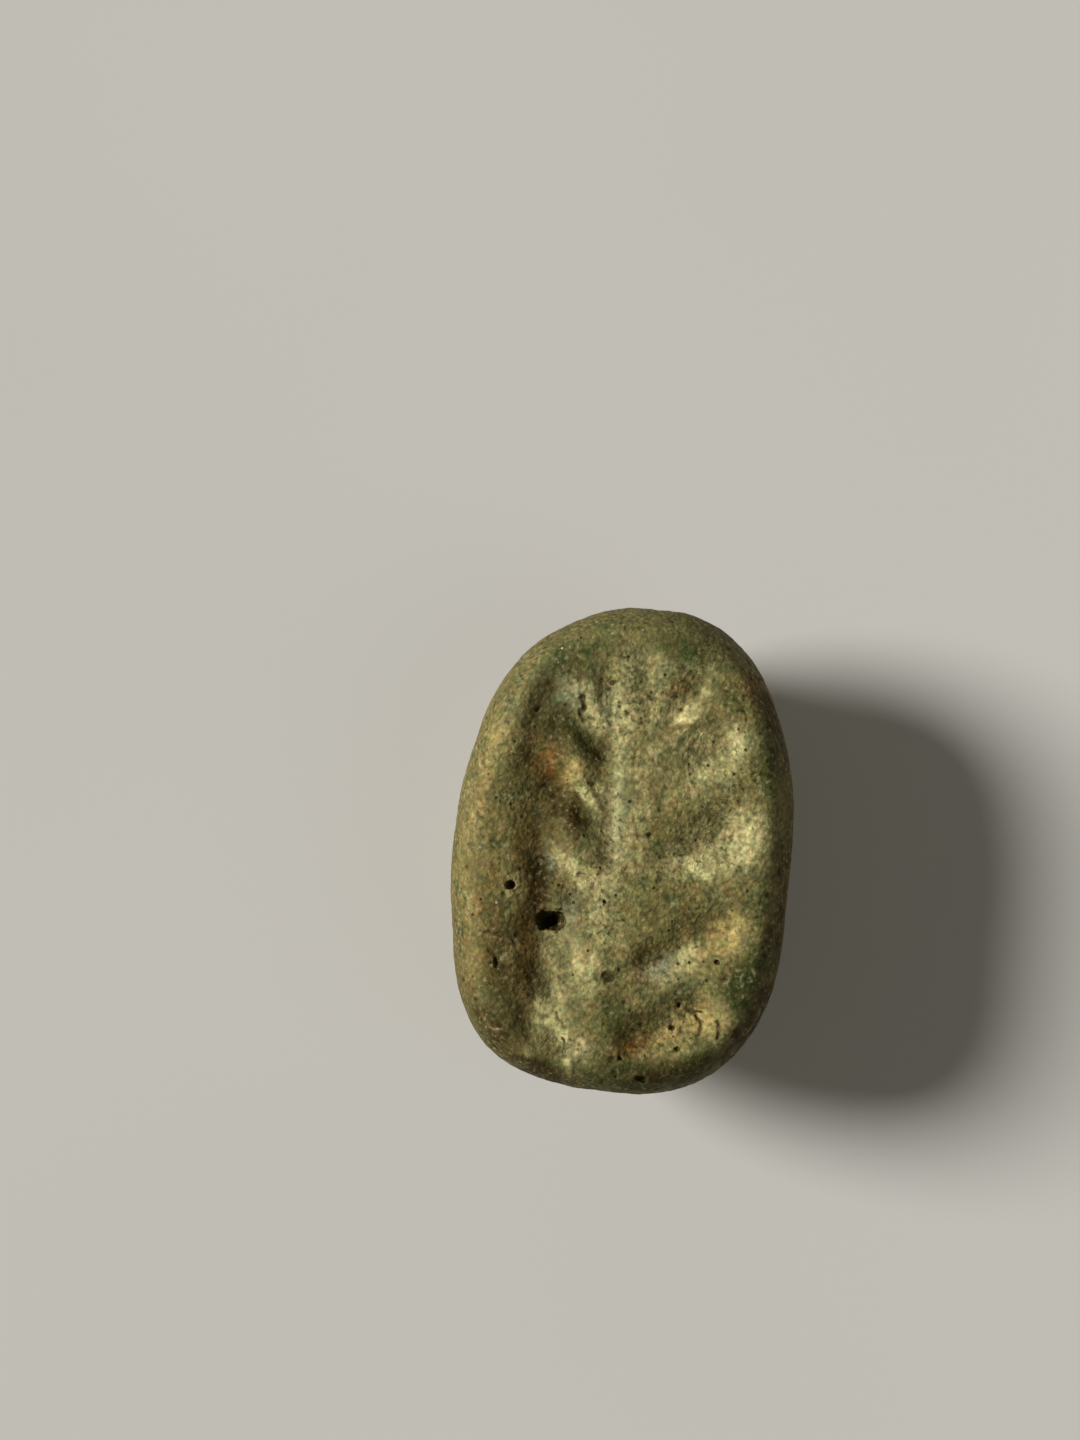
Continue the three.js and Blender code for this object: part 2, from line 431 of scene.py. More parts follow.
@dataclass(frozen=True)
class Crease:
    """A line in the face, sunk by its depth, or raised where its depth is negative.

    Attributes:
        start: Where it begins, seen from above.
        end: Where it ends.
        bow: How far its middle stands to the left of a straight run.
        half_width: Half its width.
        depth: How deep it goes at its middle line.
    """

    start: Point
    end: Point
    bow: float = 0.0
    half_width: float = 0.05
    depth: float = 0.07

    def depth_at(self, x: np.ndarray, y: np.ndarray) -> np.ndarray:
        """Gives how far the crease lowers each point of the face.

        Args:
            x: Place of each point across the face.
            y: Place of each point along it.

        Returns:
            One depth per point.
        """
        run = math.dist(self.start, self.end)
        direction = ((self.end[0] - self.start[0]) / run, (self.end[1] - self.start[1]) / run)
        along, left = along_and_across(x, y, self.start, direction)
        share = np.clip(along / run, 0, 1)
        # The bow is a parabola, at its full height halfway along.
        across = left - self.bow * 4 * share * (1 - share)
        beyond = along - share * run
        off = np.hypot(across, beyond) / self.half_width
        return self.depth * np.clip(1 - off, 0, 1)


# The open bubbles, the largest first.
FACE_PITS = (
    Pit((-2.15, -2.54), (0.5, 0.33), 0.75, turn=10, squareness=3.0),
    Pit((-3.63, -1.48), (0.2, 0.17), 0.34, turn=30),
    Pit((1.36, -7.42), (0.26, 0.13), 0.25, turn=-12),
    Pit((-0.05, -4.19), (0.24, 0.22), 0.1),
    Pit((3.40, -3.33), (0.11, 0.09), 0.16),
    Pit((2.35, -4.88), (0.1, 0.09), 0.14),
    Pit((2.40, -6.31), (0.1, 0.09), 0.14),
    Pit((2.19, -5.63), (0.09, 0.09), 0.12),
    Pit((-0.48, -1.72), (0.09, 0.08), 0.12),
    Pit((-3.8, -4.1), (0.08, 0.2), 0.15, turn=10),
    Pit((0.6, -6.85), (0.12, 0.08), 0.12),
    Pit((-3.3, 4.35), (0.12, 0.1), 0.1, turn=20),
)

# Hairline cracks and the torn edges of shallow flakes.
FACE_CRACKS = (
    Crease((2.8, -5.1), (3.08, -5.03), bow=0.03, half_width=0.08, depth=0.07),
    Crease((2.93, -5.15), (3.06, -5.75), bow=0.1, half_width=0.08, depth=0.08),
    Crease((3.59, -5.28), (3.7, -5.8), bow=0.1, half_width=0.08, depth=0.07),
    Crease((3.3, 5.0), (3.62, 4.7), bow=0.05, half_width=0.07, depth=0.04),
    Crease((-1.88, 4.92), (-1.82, 4.5), bow=0.05, half_width=0.14, depth=0.1),
    Crease((-1.88, 4.5), (-1.74, 4.15), half_width=0.11, depth=0.08),
    Crease((-1.42, -6.35), (-1.3, -6.75), bow=0.06, half_width=0.07, depth=0.04),
    Crease((-1.6, -5.5), (-1.45, -5.8), bow=-0.05, half_width=0.07, depth=0.04),
    Crease((-1.5, -1.2), (-1.42, -1.55), bow=0.03, half_width=0.06, depth=0.04),
)

# Low crests between the frond's leaves, with a negative depth, and the shallow hollows beside them.
FACE_RIPPLES = (
    Crease((1.5, 2.6), (2.4, 3.6), half_width=0.75, depth=-0.12),
    Crease((1.2, 0.1), (2.7, 0.6), half_width=0.8, depth=-0.12),
    Crease((-2.5, 1.6), (-2.35, 0.2), half_width=0.7, depth=0.1),
    Crease((-2.6, 2.9), (-2.0, 1.9), half_width=0.5, depth=-0.06),
    Crease((-1.1, 1.3), (-0.75, -0.7), half_width=0.5, depth=-0.12),
    Crease((-1.5, 5.2), (-1.2, 3.6), half_width=0.5, depth=-0.1),
    Crease((0.7, 4.3), (1.1, 5.2), half_width=0.45, depth=-0.08),
    Crease((-2.7, -1.2), (-2.5, -1.9), half_width=0.55, depth=0.1),
    Crease((-2.45, 0.15), (-0.95, -1.65), bow=-0.08, half_width=0.4, depth=-0.09),
    Crease((-1.85, 2.4), (-0.95, 1.25), bow=-0.06, half_width=0.28, depth=-0.07),
    Crease((-2.25, -5.3), (-0.95, -6.95), bow=0.1, half_width=0.32, depth=-0.06),
    Crease((-1.05, -6.95), (-0.95, -7.6), half_width=0.16, depth=-0.06),
    Crease((-0.45, -2.0), (-0.4, -3.5), bow=0.1, half_width=0.35, depth=-0.05),
    Crease((-0.7, 5.4), (-0.42, 2.0), half_width=0.25, depth=-0.05),
    Crease((-0.42, 2.0), (-0.12, -0.2), half_width=0.25, depth=-0.05),
    Crease((1.3, -3.9), (2.7, -3.0), bow=0.05, half_width=0.3, depth=-0.05),
)

# Patches of each stain on the sealing face, from the head end to the tail end. The dirt's and the bare
# body's patches also hold painted shade and painted light.
FACE_STAINS = {
    # Glaze that has kept its copper: the two ends, the right rim and some of the leaves.
    Stain.COPPER_GREEN: (
        StainPatch((-1.2, 7.3), (1.8, 0.6), turn=15, strength=0.55),
        StainPatch((-0.4, 7.3), (2.6, 0.6), turn=2, strength=0.35),
        StainPatch((1.4, 6.9), (1.9, 0.9), turn=-15, strength=0.9),
        StainPatch((-1.7, 6.4), (1.3, 0.5), turn=30, strength=0.8),
        StainPatch((-2.6, 6.1), (1.5, 0.6), turn=45, strength=0.9),
        StainPatch((1.0, 6.1), (0.5, 0.4), strength=0.45),
        StainPatch((2.9, 5.5), (1.0, 0.45), turn=-50, strength=0.7),
        StainPatch((-2.2, 3.9), (0.9, 0.4), turn=125, strength=0.5),
        StainPatch((-1.65, 3.6), (1.0, 0.4), turn=125, strength=1.0),
        StainPatch((1.3, 3.2), (0.6, 0.4), strength=0.35),
        StainPatch((4.5, 3.2), (2.0, 0.6), turn=105, strength=0.8),
        StainPatch((-4.0, 2.0), (1.4, 0.5), turn=80, strength=0.3),
        StainPatch((-0.1, 1.6), (1.2, 0.25), turn=92, strength=0.4),
        StainPatch((-1.5, 0.9), (0.9, 0.4), turn=135, strength=0.9),
        StainPatch((5.0, 0.6), (2.0, 0.5), turn=93, strength=0.35),
        StainPatch((-4.9, -0.9), (1.0, 0.4), turn=90, strength=0.5),
        StainPatch((1.6, -1.6), (0.9, 0.5), turn=20, strength=0.3),
        StainPatch((4.6, -1.7), (1.2, 0.4), turn=90, strength=0.5),
        StainPatch((5.0, -3.6), (2.2, 0.5), turn=80, strength=0.9),
        StainPatch((4.4, -4.0), (1.5, 0.8), turn=70, strength=1.4),
        StainPatch((-0.1, -4.2), (0.35, 0.3), strength=1.0),
        StainPatch((-1.0, -5.4), (0.4, 0.3), turn=110, strength=0.5),
        StainPatch((0.15, -5.5), (1.2, 0.45), turn=100, strength=0.9),
        StainPatch((-3.8, -5.6), (2.2, 0.9), turn=-60, strength=0.4),
        StainPatch((2.9, -6.9), (1.5, 0.55), turn=25, strength=1.0),
        StainPatch((-1.9, -7.35), (1.3, 0.4), turn=-10, strength=1.1),
        StainPatch((1.1, -7.4), (2.5, 0.75), turn=3, strength=1.2),
    ),
    # Iron from the soil, caught in the deeper leaves and along the left rim.
    Stain.IRON_RUST: (
        StainPatch((3.7, 5.9), (0.7, 0.4), turn=-55, strength=0.6),
        StainPatch((1.3, 5.5), (0.5, 0.35), turn=50, strength=0.4),
        StainPatch((-2.6, 2.85), (0.5, 0.35), turn=105, strength=1.3),
        StainPatch((-2.85, 2.5), (0.75, 0.5), turn=105, strength=1.2),
        StainPatch((-4.7, 1.2), (2.4, 0.6), turn=85, strength=0.22),
        StainPatch((-3.3, -0.2), (1.0, 0.4), turn=95, strength=0.5),
        StainPatch((-4.5, -2.6), (3.2, 0.8), turn=88, strength=0.3),
        StainPatch((-2.9, -3.2), (2.6, 0.6), turn=93, strength=0.6),
        StainPatch((1.3, -4.0), (0.8, 0.4), turn=30, strength=0.35),
        StainPatch((-2.9, -4.4), (1.0, 0.5), turn=95, strength=0.6),
        StainPatch((1.0, -6.3), (0.7, 0.4), turn=30, strength=1.1),
    ),
    # Glaze worn to a warm yellow, on the leaves of the right side above all.
    Stain.OCHRE: (
        StainPatch((-4.7, 3.4), (1.0, 0.3), turn=75, strength=0.2),
        StainPatch((-2.0, 2.4), (0.75, 0.4), turn=115, strength=0.6),
        StainPatch((-5.1, 0.2), (2.4, 0.35), turn=90, strength=0.3),
        StainPatch((3.6, -2.5), (0.9, 0.65), turn=50, strength=1.0),
        StainPatch((3.2, -5.2), (1.1, 0.55), turn=20, strength=1.0),
        StainPatch((2.0, -6.0), (0.9, 0.4), turn=15, strength=0.8),
    ),
    # Soil left in the groove along the left rim, in the leaves and round the edge, and painted shade on the
    # walls that face away from the light.
    Stain.BROWN_DIRT_AND_SHADE: (
        StainPatch((-3.1, 5.0), (0.8, 0.45), turn=70, strength=0.7),
        StainPatch((4.6, 4.6), (2.0, 0.5), turn=-62, strength=0.8),
        StainPatch((-3.4, 4.3), (1.2, 0.4), turn=80, strength=0.5),
        StainPatch((-2.7, 3.75), (0.8, 0.35), turn=125, strength=0.7),
        StainPatch((-1.9, 3.7), (0.9, 0.4), turn=125, strength=0.4),
        StainPatch((-2.3, 3.15), (0.8, 0.45), turn=125, strength=0.5),
        StainPatch((-3.7, 3.05), (0.8, 0.35), turn=80, strength=0.6),
        StainPatch((-1.2, 3.0), (0.5, 0.4), turn=110, strength=0.4),
        StainPatch((-3.6, 2.7), (0.9, 0.4), turn=85, strength=0.8),
        # Painted shade: the shaded wall of a leaf hollow, darkened in the dirt's colour.
        StainPatch((-1.95, 1.0), (1.0, 0.5), turn=130, strength=1.1),
        StainPatch((1.9, 0.9), (0.8, 0.4), turn=35, strength=0.2),
        StainPatch((-3.2, 0.4), (0.9, 0.4), turn=95, strength=0.6),
        StainPatch((-2.75, 0.4), (1.5, 0.7), turn=92, strength=0.5),
        StainPatch((-2.1, -0.75), (0.8, 0.3), turn=125, strength=0.4),
        StainPatch((5.4, -1.0), (5.0, 0.35), turn=90, strength=0.55),
        StainPatch((-2.65, -1.6), (1.3, 0.6), turn=95, strength=1.2),
        StainPatch((-2.2, -1.9), (0.5, 0.35), turn=20, strength=0.6),
        StainPatch((5.0, -2.4), (1.0, 0.4), turn=85, strength=0.5),
        StainPatch((-3.4, -3.0), (0.5, 0.4), turn=60, strength=0.6),
        StainPatch((0.8, -3.0), (0.5, 0.4), strength=0.3),
        StainPatch((3.8, -3.6), (0.6, 0.35), turn=60, strength=0.4),
        StainPatch((-3.75, -4.0), (1.9, 0.55), turn=100, strength=0.75),
        StainPatch((-2.75, -4.4), (0.9, 0.55), turn=110, strength=0.7),
        StainPatch((2.0, -4.5), (0.5, 0.3), turn=25, strength=0.5),
        StainPatch((-3.4, -4.9), (1.6, 0.5), turn=97, strength=0.7),
        StainPatch((1.0, -5.3), (0.6, 0.4), turn=30, strength=0.5),
        StainPatch((4.8, -5.3), (2.0, 0.55), turn=62, strength=1.2),
        StainPatch((-2.75, -6.1), (1.0, 0.4), turn=110, strength=0.6),
        StainPatch((-3.5, -6.2), (1.6, 0.7), turn=-50, strength=0.9),
        StainPatch((2.2, -7.1), (2.2, 0.5), turn=15, strength=0.75),
        StainPatch((-2.2, -7.45), (1.3, 0.45), turn=-20, strength=1.2),
    ),
    # Bare body, where the glaze has worn off crests, and painted light on the lit sides of the leaves and
    # the stem.
    Stain.BARE_CREAM_AND_LIGHT: (
        StainPatch((0.4, 6.2), (1.9, 0.6), turn=0, strength=0.45),
        StainPatch((0.4, 5.9), (0.6, 0.28), turn=90, strength=0.6),
        StainPatch((2.15, 5.7), (0.5, 0.22), turn=75, strength=0.6),
        StainPatch((-1.0, 5.2), (0.8, 0.4), turn=95, strength=0.6),
        StainPatch((-2.2, 4.9), (0.65, 0.55), strength=0.55),
        StainPatch((-0.65, 4.9), (0.9, 0.2), turn=92, strength=0.7),
        StainPatch((-1.3, 4.7), (0.7, 0.4), turn=120, strength=0.7),
        StainPatch((0.95, 4.6), (1.0, 0.5), turn=60, strength=0.8),
        StainPatch((1.55, 4.6), (0.75, 0.28), turn=45, strength=1.0),
        StainPatch((-1.4, 4.5), (1.2, 0.5), turn=98, strength=0.8),
        StainPatch((-0.4, 4.2), (1.6, 0.8), turn=92, strength=0.4),
        StainPatch((2.2, 3.8), (0.9, 0.5), turn=45, strength=0.7),
        StainPatch((3.2, 3.75), (0.85, 0.45), turn=55, strength=1.0),
        StainPatch((1.8, 3.6), (1.3, 0.8), turn=40, strength=0.4),
        StainPatch((0.9, 3.1), (1.7, 1.3), turn=90, strength=0.3),
        StainPatch((2.4, 2.9), (1.0, 0.8), turn=30, strength=0.55),
        StainPatch((2.2, 2.35), (0.75, 0.3), turn=25, strength=0.6),
        StainPatch((-0.45, 2.3), (2.6, 0.24), turn=96, strength=0.4),
        StainPatch((-1.35, 1.75), (0.75, 0.22), turn=130, strength=0.9),
        StainPatch((0.35, 1.6), (2.8, 0.5), turn=90, strength=0.35),
        StainPatch((-0.85, 0.9), (1.9, 0.3), turn=95, strength=0.8),
        StainPatch((2.5, 0.9), (1.0, 0.6), turn=30, strength=0.35),
        StainPatch((3.75, 0.75), (1.3, 0.8), turn=60, strength=1.0),
        StainPatch((3.05, 0.4), (0.8, 0.55), turn=60, strength=1.4),
        StainPatch((-0.5, 0.1), (0.7, 0.35), turn=95, strength=0.8),
        StainPatch((2.6, 0.1), (1.5, 0.5), turn=12, strength=1.0),
        StainPatch((2.5, -0.3), (1.1, 0.35), turn=5, strength=0.95),
        StainPatch((-1.6, -0.9), (1.2, 0.28), turn=133, strength=0.9),
        StainPatch((-0.6, -1.2), (0.8, 0.6), turn=100, strength=0.7),
        StainPatch((-3.5, -1.5), (1.0, 0.4), turn=90, strength=0.5),
        StainPatch((-0.5, -2.4), (1.0, 0.3), turn=105, strength=0.6),
        StainPatch((0.0, -2.6), (1.3, 0.6), turn=95, strength=0.3),
        # A painted glint: a tiny bright spot where a grain catches the light.
        StainPatch((2.48, -3.15), (0.12, 0.1), strength=2.5),
        StainPatch((2.5, -3.2), (1.2, 0.4), turn=38, strength=1.0),
        StainPatch((-3.1, -3.7), (0.5, 0.35), turn=60, strength=0.6),
        StainPatch((1.3, -3.8), (0.7, 0.4), turn=30, strength=0.7),
        StainPatch((-2.1, -3.9), (0.8, 0.4), turn=95, strength=0.6),
        StainPatch((-1.1, -3.9), (1.2, 0.45), turn=110, strength=0.45),
        StainPatch((-0.55, -4.0), (0.9, 0.3), turn=95, strength=0.55),
        StainPatch((3.7, -4.9), (0.8, 0.35), turn=-30, strength=0.5),
        StainPatch((-1.8, -5.0), (1.3, 0.6), turn=105, strength=0.5),
        StainPatch((2.4, -5.3), (0.8, 0.35), turn=15, strength=0.6),
        StainPatch((-2.4, -5.5), (1.0, 0.5), turn=105, strength=1.1),
        StainPatch((-1.6, -6.1), (1.1, 0.35), turn=125, strength=0.45),
        StainPatch((-0.8, -6.6), (0.6, 0.4), turn=115, strength=0.7),
        StainPatch((-1.0, -7.2), (0.5, 0.2), turn=100, strength=0.8),
    ),
    # Glaze leached to a pale grey-blue in a few hollows and along the stem.
    Stain.LEACHED_BLUE: (
        StainPatch((-2.25, 4.95), (0.6, 0.5), strength=0.45),
        StainPatch((-1.0, 4.6), (0.7, 0.45), turn=100, strength=0.3),
        StainPatch((-0.3, 1.0), (2.2, 0.45), turn=94, strength=0.25),
        StainPatch((-2.45, -0.6), (0.5, 0.3), turn=120, strength=0.8),
        StainPatch((-1.6, -2.0), (0.8, 0.4), turn=100, strength=0.3),
        StainPatch((1.55, -3.7), (0.5, 0.3), turn=35, strength=1.0),
    ),
}


# ---- Finishes ----


@dataclass(frozen=True)
class Fleck:
    """A colour laid over another where a noise lies past a threshold.

    Attributes:
        tint: The colour.
        start: The noise at which it sets in.
        full: The noise at which it has its greatest share.
        share: That share.
    """

    tint: str
    start: float
    full: float
    share: float


@dataclass(frozen=True)
class WornGlaze:
    """Glazed composition: crushed quartz moulded and self-glazed with copper, then weathered in the ground.

    The glaze has worn thin and matt, so the eye sees a porous olive-buff ground, mottled grain by grain with
    dark and pale, pricked by open pinholes, with a dull sheen and no clear reflections. The pinholes' shade
    and the glints of a few grains are painted. Sizes are in millimetres and are the width of one bump of the
    pattern.
    A pair of noise values says where a pattern is at its one end and at its other.

    Attributes:
        olive: The ground's darker colour.
        buff: Its paler colour.
        green_tinge: What tinges the ground green.
        tan_tinge: What tinges it tan.
        copper_green: Colour of the glaze that has kept its copper.
        iron_rust: Colour of the rust.
        ochre: Colour of the ochre.
        brown_dirt_and_shade: Colour of the dirt, which also carries the painted shade.
        bare_cream_and_light: Colour of the bare body, which also carries the painted light.
        leached_blue: Colour of the leached glaze.
        dark_grain: The dark grains, whose colour the pinholes' painted shade takes.
        pale_grain: The grains of bare quartz.
        quartz: Colour of the painted glints, bright spots where coarse quartz grains catch the light.
        greener: What a colour is multiplied by where its hue has drifted furthest to green.
        browner: The same where it has drifted furthest to brown.
        patch_size: Width of a patch of olive or buff.
        patch_noise: Where the ground is all olive, and all buff.
        tinge_size: Width of a tinged patch.
        mottle_size: Width of the mottling.
        mottle_swing: How far it darkens and lightens the colour.
        mottle_height: How high it stands, with the crushed quartz at one.
        stain_break: How strongly the mottling breaks up the stains' edges.
        drift_size: Width of a drift of hue.
        drift_noise: Where the hue is at its greenest, and at its brownest.
        pebble_size: Spacing of the crushed quartz's grains.
        pebble_sway: How far they are pushed out of round, as a multiple of their spacing.
        pebble_reach: Distances from a grain's middle at which it is highest and lowest, in spacings.
        pebble_height: Its height there, around a half.
        pebble_swing: How far they darken and lighten the colour.
        grain_size: Width of the fine grain.
        grain_swing: How far it darkens and lightens the colour.
        tone_noise: Where such a pattern darkens most, and lightens most.
        speck_size: Width of a dark or pale grain.
        clump_size: Width of a clump of such grains.
        clump_noise: Where they are thinnest, and thickest.
        clump_least: Their share where they are thinnest.
        pinhole_spacing: Distance from one pinhole to the next.
        pinhole_reach: Radius of a pinhole.
        pinhole_core: How much of that radius is full depth.
        pinhole_shade_share: How far its painted shade hides the colour under it.
        glint_spacing: Distance from one painted glint to the next.
        glint_reach: Radius of such a glint.
        glint_core: How much of that radius has its full colour.
        glint_share: How far it hides the colour under it.
        rough_noise: Where the mottling is smoothest, and roughest.
        smoothest: The roughness there.
        roughest: The greatest roughness.
        specular: Strength of the sheen.
        bump_strength: Strength of the bump that the fine patterns give.
        bump_height: Height of that bump.
    """

    olive: str = "#69643a"
    buff: str = "#837844"
    green_tinge: Fleck = Fleck("#566039", start=0.48, full=0.36, share=0.6)
    tan_tinge: Fleck = Fleck("#86703f", start=0.52, full=0.66, share=0.6)
    copper_green: str = "#424920"
    iron_rust: str = "#86612c"
    ochre: str = "#c8ae6a"
    brown_dirt_and_shade: str = "#3f300b"
    bare_cream_and_light: str = "#cbbf84"
    leached_blue: str = "#a5aa88"
    dark_grain: Fleck = Fleck("#26240f", start=0.46, full=0.28, share=0.75)
    pale_grain: Fleck = Fleck("#d2c99a", start=0.58, full=0.8, share=0.45)
    quartz: str = "#dcd6b4"
    greener: tuple[float, ...] = (0.9, 1.02, 0.95, 1.0)
    browner: tuple[float, ...] = (1.1, 0.99, 0.98, 1.0)
    patch_size: float = 2.2
    patch_noise: Point = (0.38, 0.62)
    tinge_size: float = 0.55
    mottle_size: float = 0.4
    mottle_swing: float = 0.17
    mottle_height: float = 1.5
    stain_break: float = 3.0
    drift_size: float = 0.35
    drift_noise: Point = (0.36, 0.64)
    pebble_size: float = 0.17
    pebble_sway: float = 1.2
    pebble_reach: Point = (0.15, 0.85)
    pebble_height: Point = (0.8, 0.2)
    pebble_swing: float = 0.17
    grain_size: float = 0.2
    grain_swing: float = 0.14
    tone_noise: Point = (0.33, 0.67)
    speck_size: float = 0.15
    clump_size: float = 1.3
    clump_noise: Point = (0.38, 0.62)
    clump_least: float = 0.3
    pinhole_spacing: float = 0.6
    pinhole_reach: float = 0.12
    pinhole_core: float = 0.4
    pinhole_shade_share: float = 0.9
    glint_spacing: float = 1.5
    glint_reach: float = 0.036
    glint_core: float = 0.5
    glint_share: float = 0.75
    rough_noise: Point = (0.3, 0.7)
    smoothest: float = 0.58
    roughest: float = 0.84
    specular: float = 0.16
    bump_strength: float = 0.75
    bump_height: float = 0.05

    def material(self) -> bpy.types.Material:
        """Builds the material.

        Returns:
            The material, whose patterns follow Object coordinates and the mesh's stain attributes.
        """
        finish = bpy.data.materials.new("worn_copper_glaze_on_quartz_paste")
        finish.use_nodes = True
        tree = finish.node_tree
        tree.nodes.clear()
        place = add_node(tree, "ShaderNodeTexCoord").outputs["Object"]
        in_mm = add_node(
            tree, "ShaderNodeVectorMath", {0: place, "Scale": 1 / MM}, operation="SCALE"
        ).outputs[0]
        mottle = add_node(
            tree, "ShaderNodeTexNoise",
            {"Vector": in_mm, "Scale": 1 / self.mottle_size, "Detail": 3.0, "Roughness": 0.6},
        ).outputs["Fac"]
        grain = add_node(
            tree, "ShaderNodeTexNoise",
            {"Vector": in_mm, "Scale": 1 / self.grain_size, "Detail": 2.0, "Roughness": 0.7},
        ).outputs["Fac"]

        colour = self.tinged_ground(tree, in_mm)
        for stain, tint in (
            # The bare body, with the painted light laid in the same colour.
            (Stain.BARE_CREAM_AND_LIGHT, self.bare_cream_and_light),
            (Stain.OCHRE, self.ochre),
            (Stain.LEACHED_BLUE, self.leached_blue),
            (Stain.COPPER_GREEN, self.copper_green),
            (Stain.IRON_RUST, self.iron_rust),
            # The dirt, with the painted shade laid in the same colour.
            (Stain.BROWN_DIRT_AND_SHADE, self.brown_dirt_and_shade),
        ):
            colour = self.stained(tree, colour, stain, tint, mottle)
        pebbles = self.pebbles(tree, in_mm)
        colour = self.hue_drift(tree, colour, in_mm)
        colour = self.toned(tree, colour, mottle, self.mottle_swing)
        colour = self.toned(tree, colour, grain, self.grain_swing)
        colour = self.toned(tree, colour, pebbles, self.pebble_swing)
        colour = self.peppered(tree, colour, in_mm)
        # Painted highlights: bright glints on a few grains.
        colour = self.painted_glints(tree, colour, in_mm)
        pinholes = self.pinholes(tree, in_mm)
        # Painted shade: the pinholes are darkened in the dark grains' colour.
        colour = add_node(
            tree, "ShaderNodeMix", {"Factor": pinholes, 6: colour, 7: srgb(self.dark_grain.tint)},
            data_type="RGBA",
        ).outputs[2]

        rough = add_node(
            tree, "ShaderNodeMapRange",
            {
                "Value": mottle, "From Min": self.rough_noise[0], "From Max": self.rough_noise[1],
                "To Min": self.smoothest, "To Max": self.roughest,
            },
        ).outputs[0]
        height = add_node(
            tree, "ShaderNodeMath", {0: mottle, 1: self.mottle_height, 2: pebbles},
            operation="MULTIPLY_ADD",
        ).outputs[0]
        height = add_node(
            tree, "ShaderNodeMath", {0: height, 1: pinholes}, operation="SUBTRACT"
        ).outputs[0]
        bump = add_node(
            tree, "ShaderNodeBump",
            {"Height": height, "Strength": self.bump_strength, "Distance": self.bump_height * MM},
        ).outputs[0]
        shader = add_node(
            tree, "ShaderNodeBsdfPrincipled",
            {
                "Base Color": colour, "Roughness": rough, "Normal": bump,
                "Specular IOR Level": self.specular,
            },
        )
        add_node(tree, "ShaderNodeOutputMaterial", {"Surface": shader.outputs[0]})
        return finish

    def tinged_ground(self, tree: bpy.types.NodeTree, in_mm: bpy.types.NodeSocket) -> bpy.types.NodeSocket:
        """Makes the ground: broad patches of olive and buff, tinged green or tan in smaller ones.

        Args:
            tree: The material's tree.
            in_mm: The place on the seal in millimetres.

        Returns:
            The ground's colour.
        """
        patches = add_node(
            tree, "ShaderNodeTexNoise", {"Vector": in_mm, "Scale": 1 / self.patch_size, "Detail": 3.0}
        ).outputs["Fac"]
        tinge = add_node(
            tree, "ShaderNodeTexNoise",
            {"Vector": in_mm, "Scale": 1 / self.tinge_size, "Detail": 4.0, "Roughness": 0.65},
        ).outputs["Fac"]
        share = add_node(
            tree, "ShaderNodeMapRange",
            {"Value": patches, "From Min": self.patch_noise[0], "From Max": self.patch_noise[1]},
        ).outputs[0]
        ground = add_node(
            tree, "ShaderNodeMix", {"Factor": share, 6: srgb(self.olive), 7: srgb(self.buff)},
            data_type="RGBA",
        ).outputs[2]
        for fleck in (self.green_tinge, self.tan_tinge):
            share = add_node(
                tree, "ShaderNodeMapRange",
                {"Value": tinge, "From Min": fleck.start, "From Max": fleck.full, "To Max": fleck.share},
            ).outputs[0]
            ground = add_node(
                tree, "ShaderNodeMix", {"Factor": share, 6: ground, 7: srgb(fleck.tint)}, data_type="RGBA"
            ).outputs[2]
        return ground

    def stained(
        self,
        tree: bpy.types.NodeTree,
        colour: bpy.types.NodeSocket,
        stain: Stain,
        tint: str,
        mottle: bpy.types.NodeSocket,
    ) -> bpy.types.NodeSocket:
        """Lays one stain over a colour, with an edge broken up by the glaze's mottling.

        Args:
            tree: The material's tree.
            colour: The colour under the stain.
            stain: Which attribute to read.
            tint: The stain's colour.
            mottle: The mottling that breaks the edge.

        Returns:
            The stained colour.
        """
        share = add_node(tree, "ShaderNodeAttribute", attribute_name=stain.value).outputs["Fac"]
        # The mottling lies around a half, where the stain has just the share that is stored.
        ragged = add_node(
            tree, "ShaderNodeMath", {0: mottle, 1: self.stain_break, 2: 1 - self.stain_break / 2},
            operation="MULTIPLY_ADD",
        ).outputs[0]
        cover = add_node(
            tree, "ShaderNodeMath", {0: ragged, 1: share}, operation="MULTIPLY", use_clamp=True
        ).outputs[0]
        return add_node(
            tree, "ShaderNodeMix", {"Factor": cover, 6: colour, 7: srgb(tint)}, data_type="RGBA"
        ).outputs[2]

    def pebbles(self, tree: bpy.types.NodeTree, in_mm: bpy.types.NodeSocket) -> bpy.types.NodeSocket:
        """Packs the crushed quartz: uneven rounded grains with dark gaps between them.

        Args:
            tree: The material's tree.
            in_mm: The place on the seal in millimetres.

        Returns:
            Height of the grains, which lies around a half.
        """
        sway = add_node(
            tree, "ShaderNodeTexNoise", {"Vector": in_mm, "Scale": 1 / self.pebble_size, "Detail": 2.0}
        ).outputs["Color"]
        push = (self.pebble_size * self.pebble_sway,) * 3
        place = add_node(
            tree, "ShaderNodeVectorMath", {0: sway, 1: push, 2: in_mm}, operation="MULTIPLY_ADD"
        ).outputs[0]
        gap = add_node(
            tree, "ShaderNodeTexVoronoi", {"Vector": place, "Scale": 1 / self.pebble_size}
        ).outputs["Distance"]
        return add_node(
            tree, "ShaderNodeMapRange",
            {
                "Value": gap, "From Min": self.pebble_reach[0], "From Max": self.pebble_reach[1],
                "To Min": self.pebble_height[0], "To Max": self.pebble_height[1],
            },
        ).outputs[0]

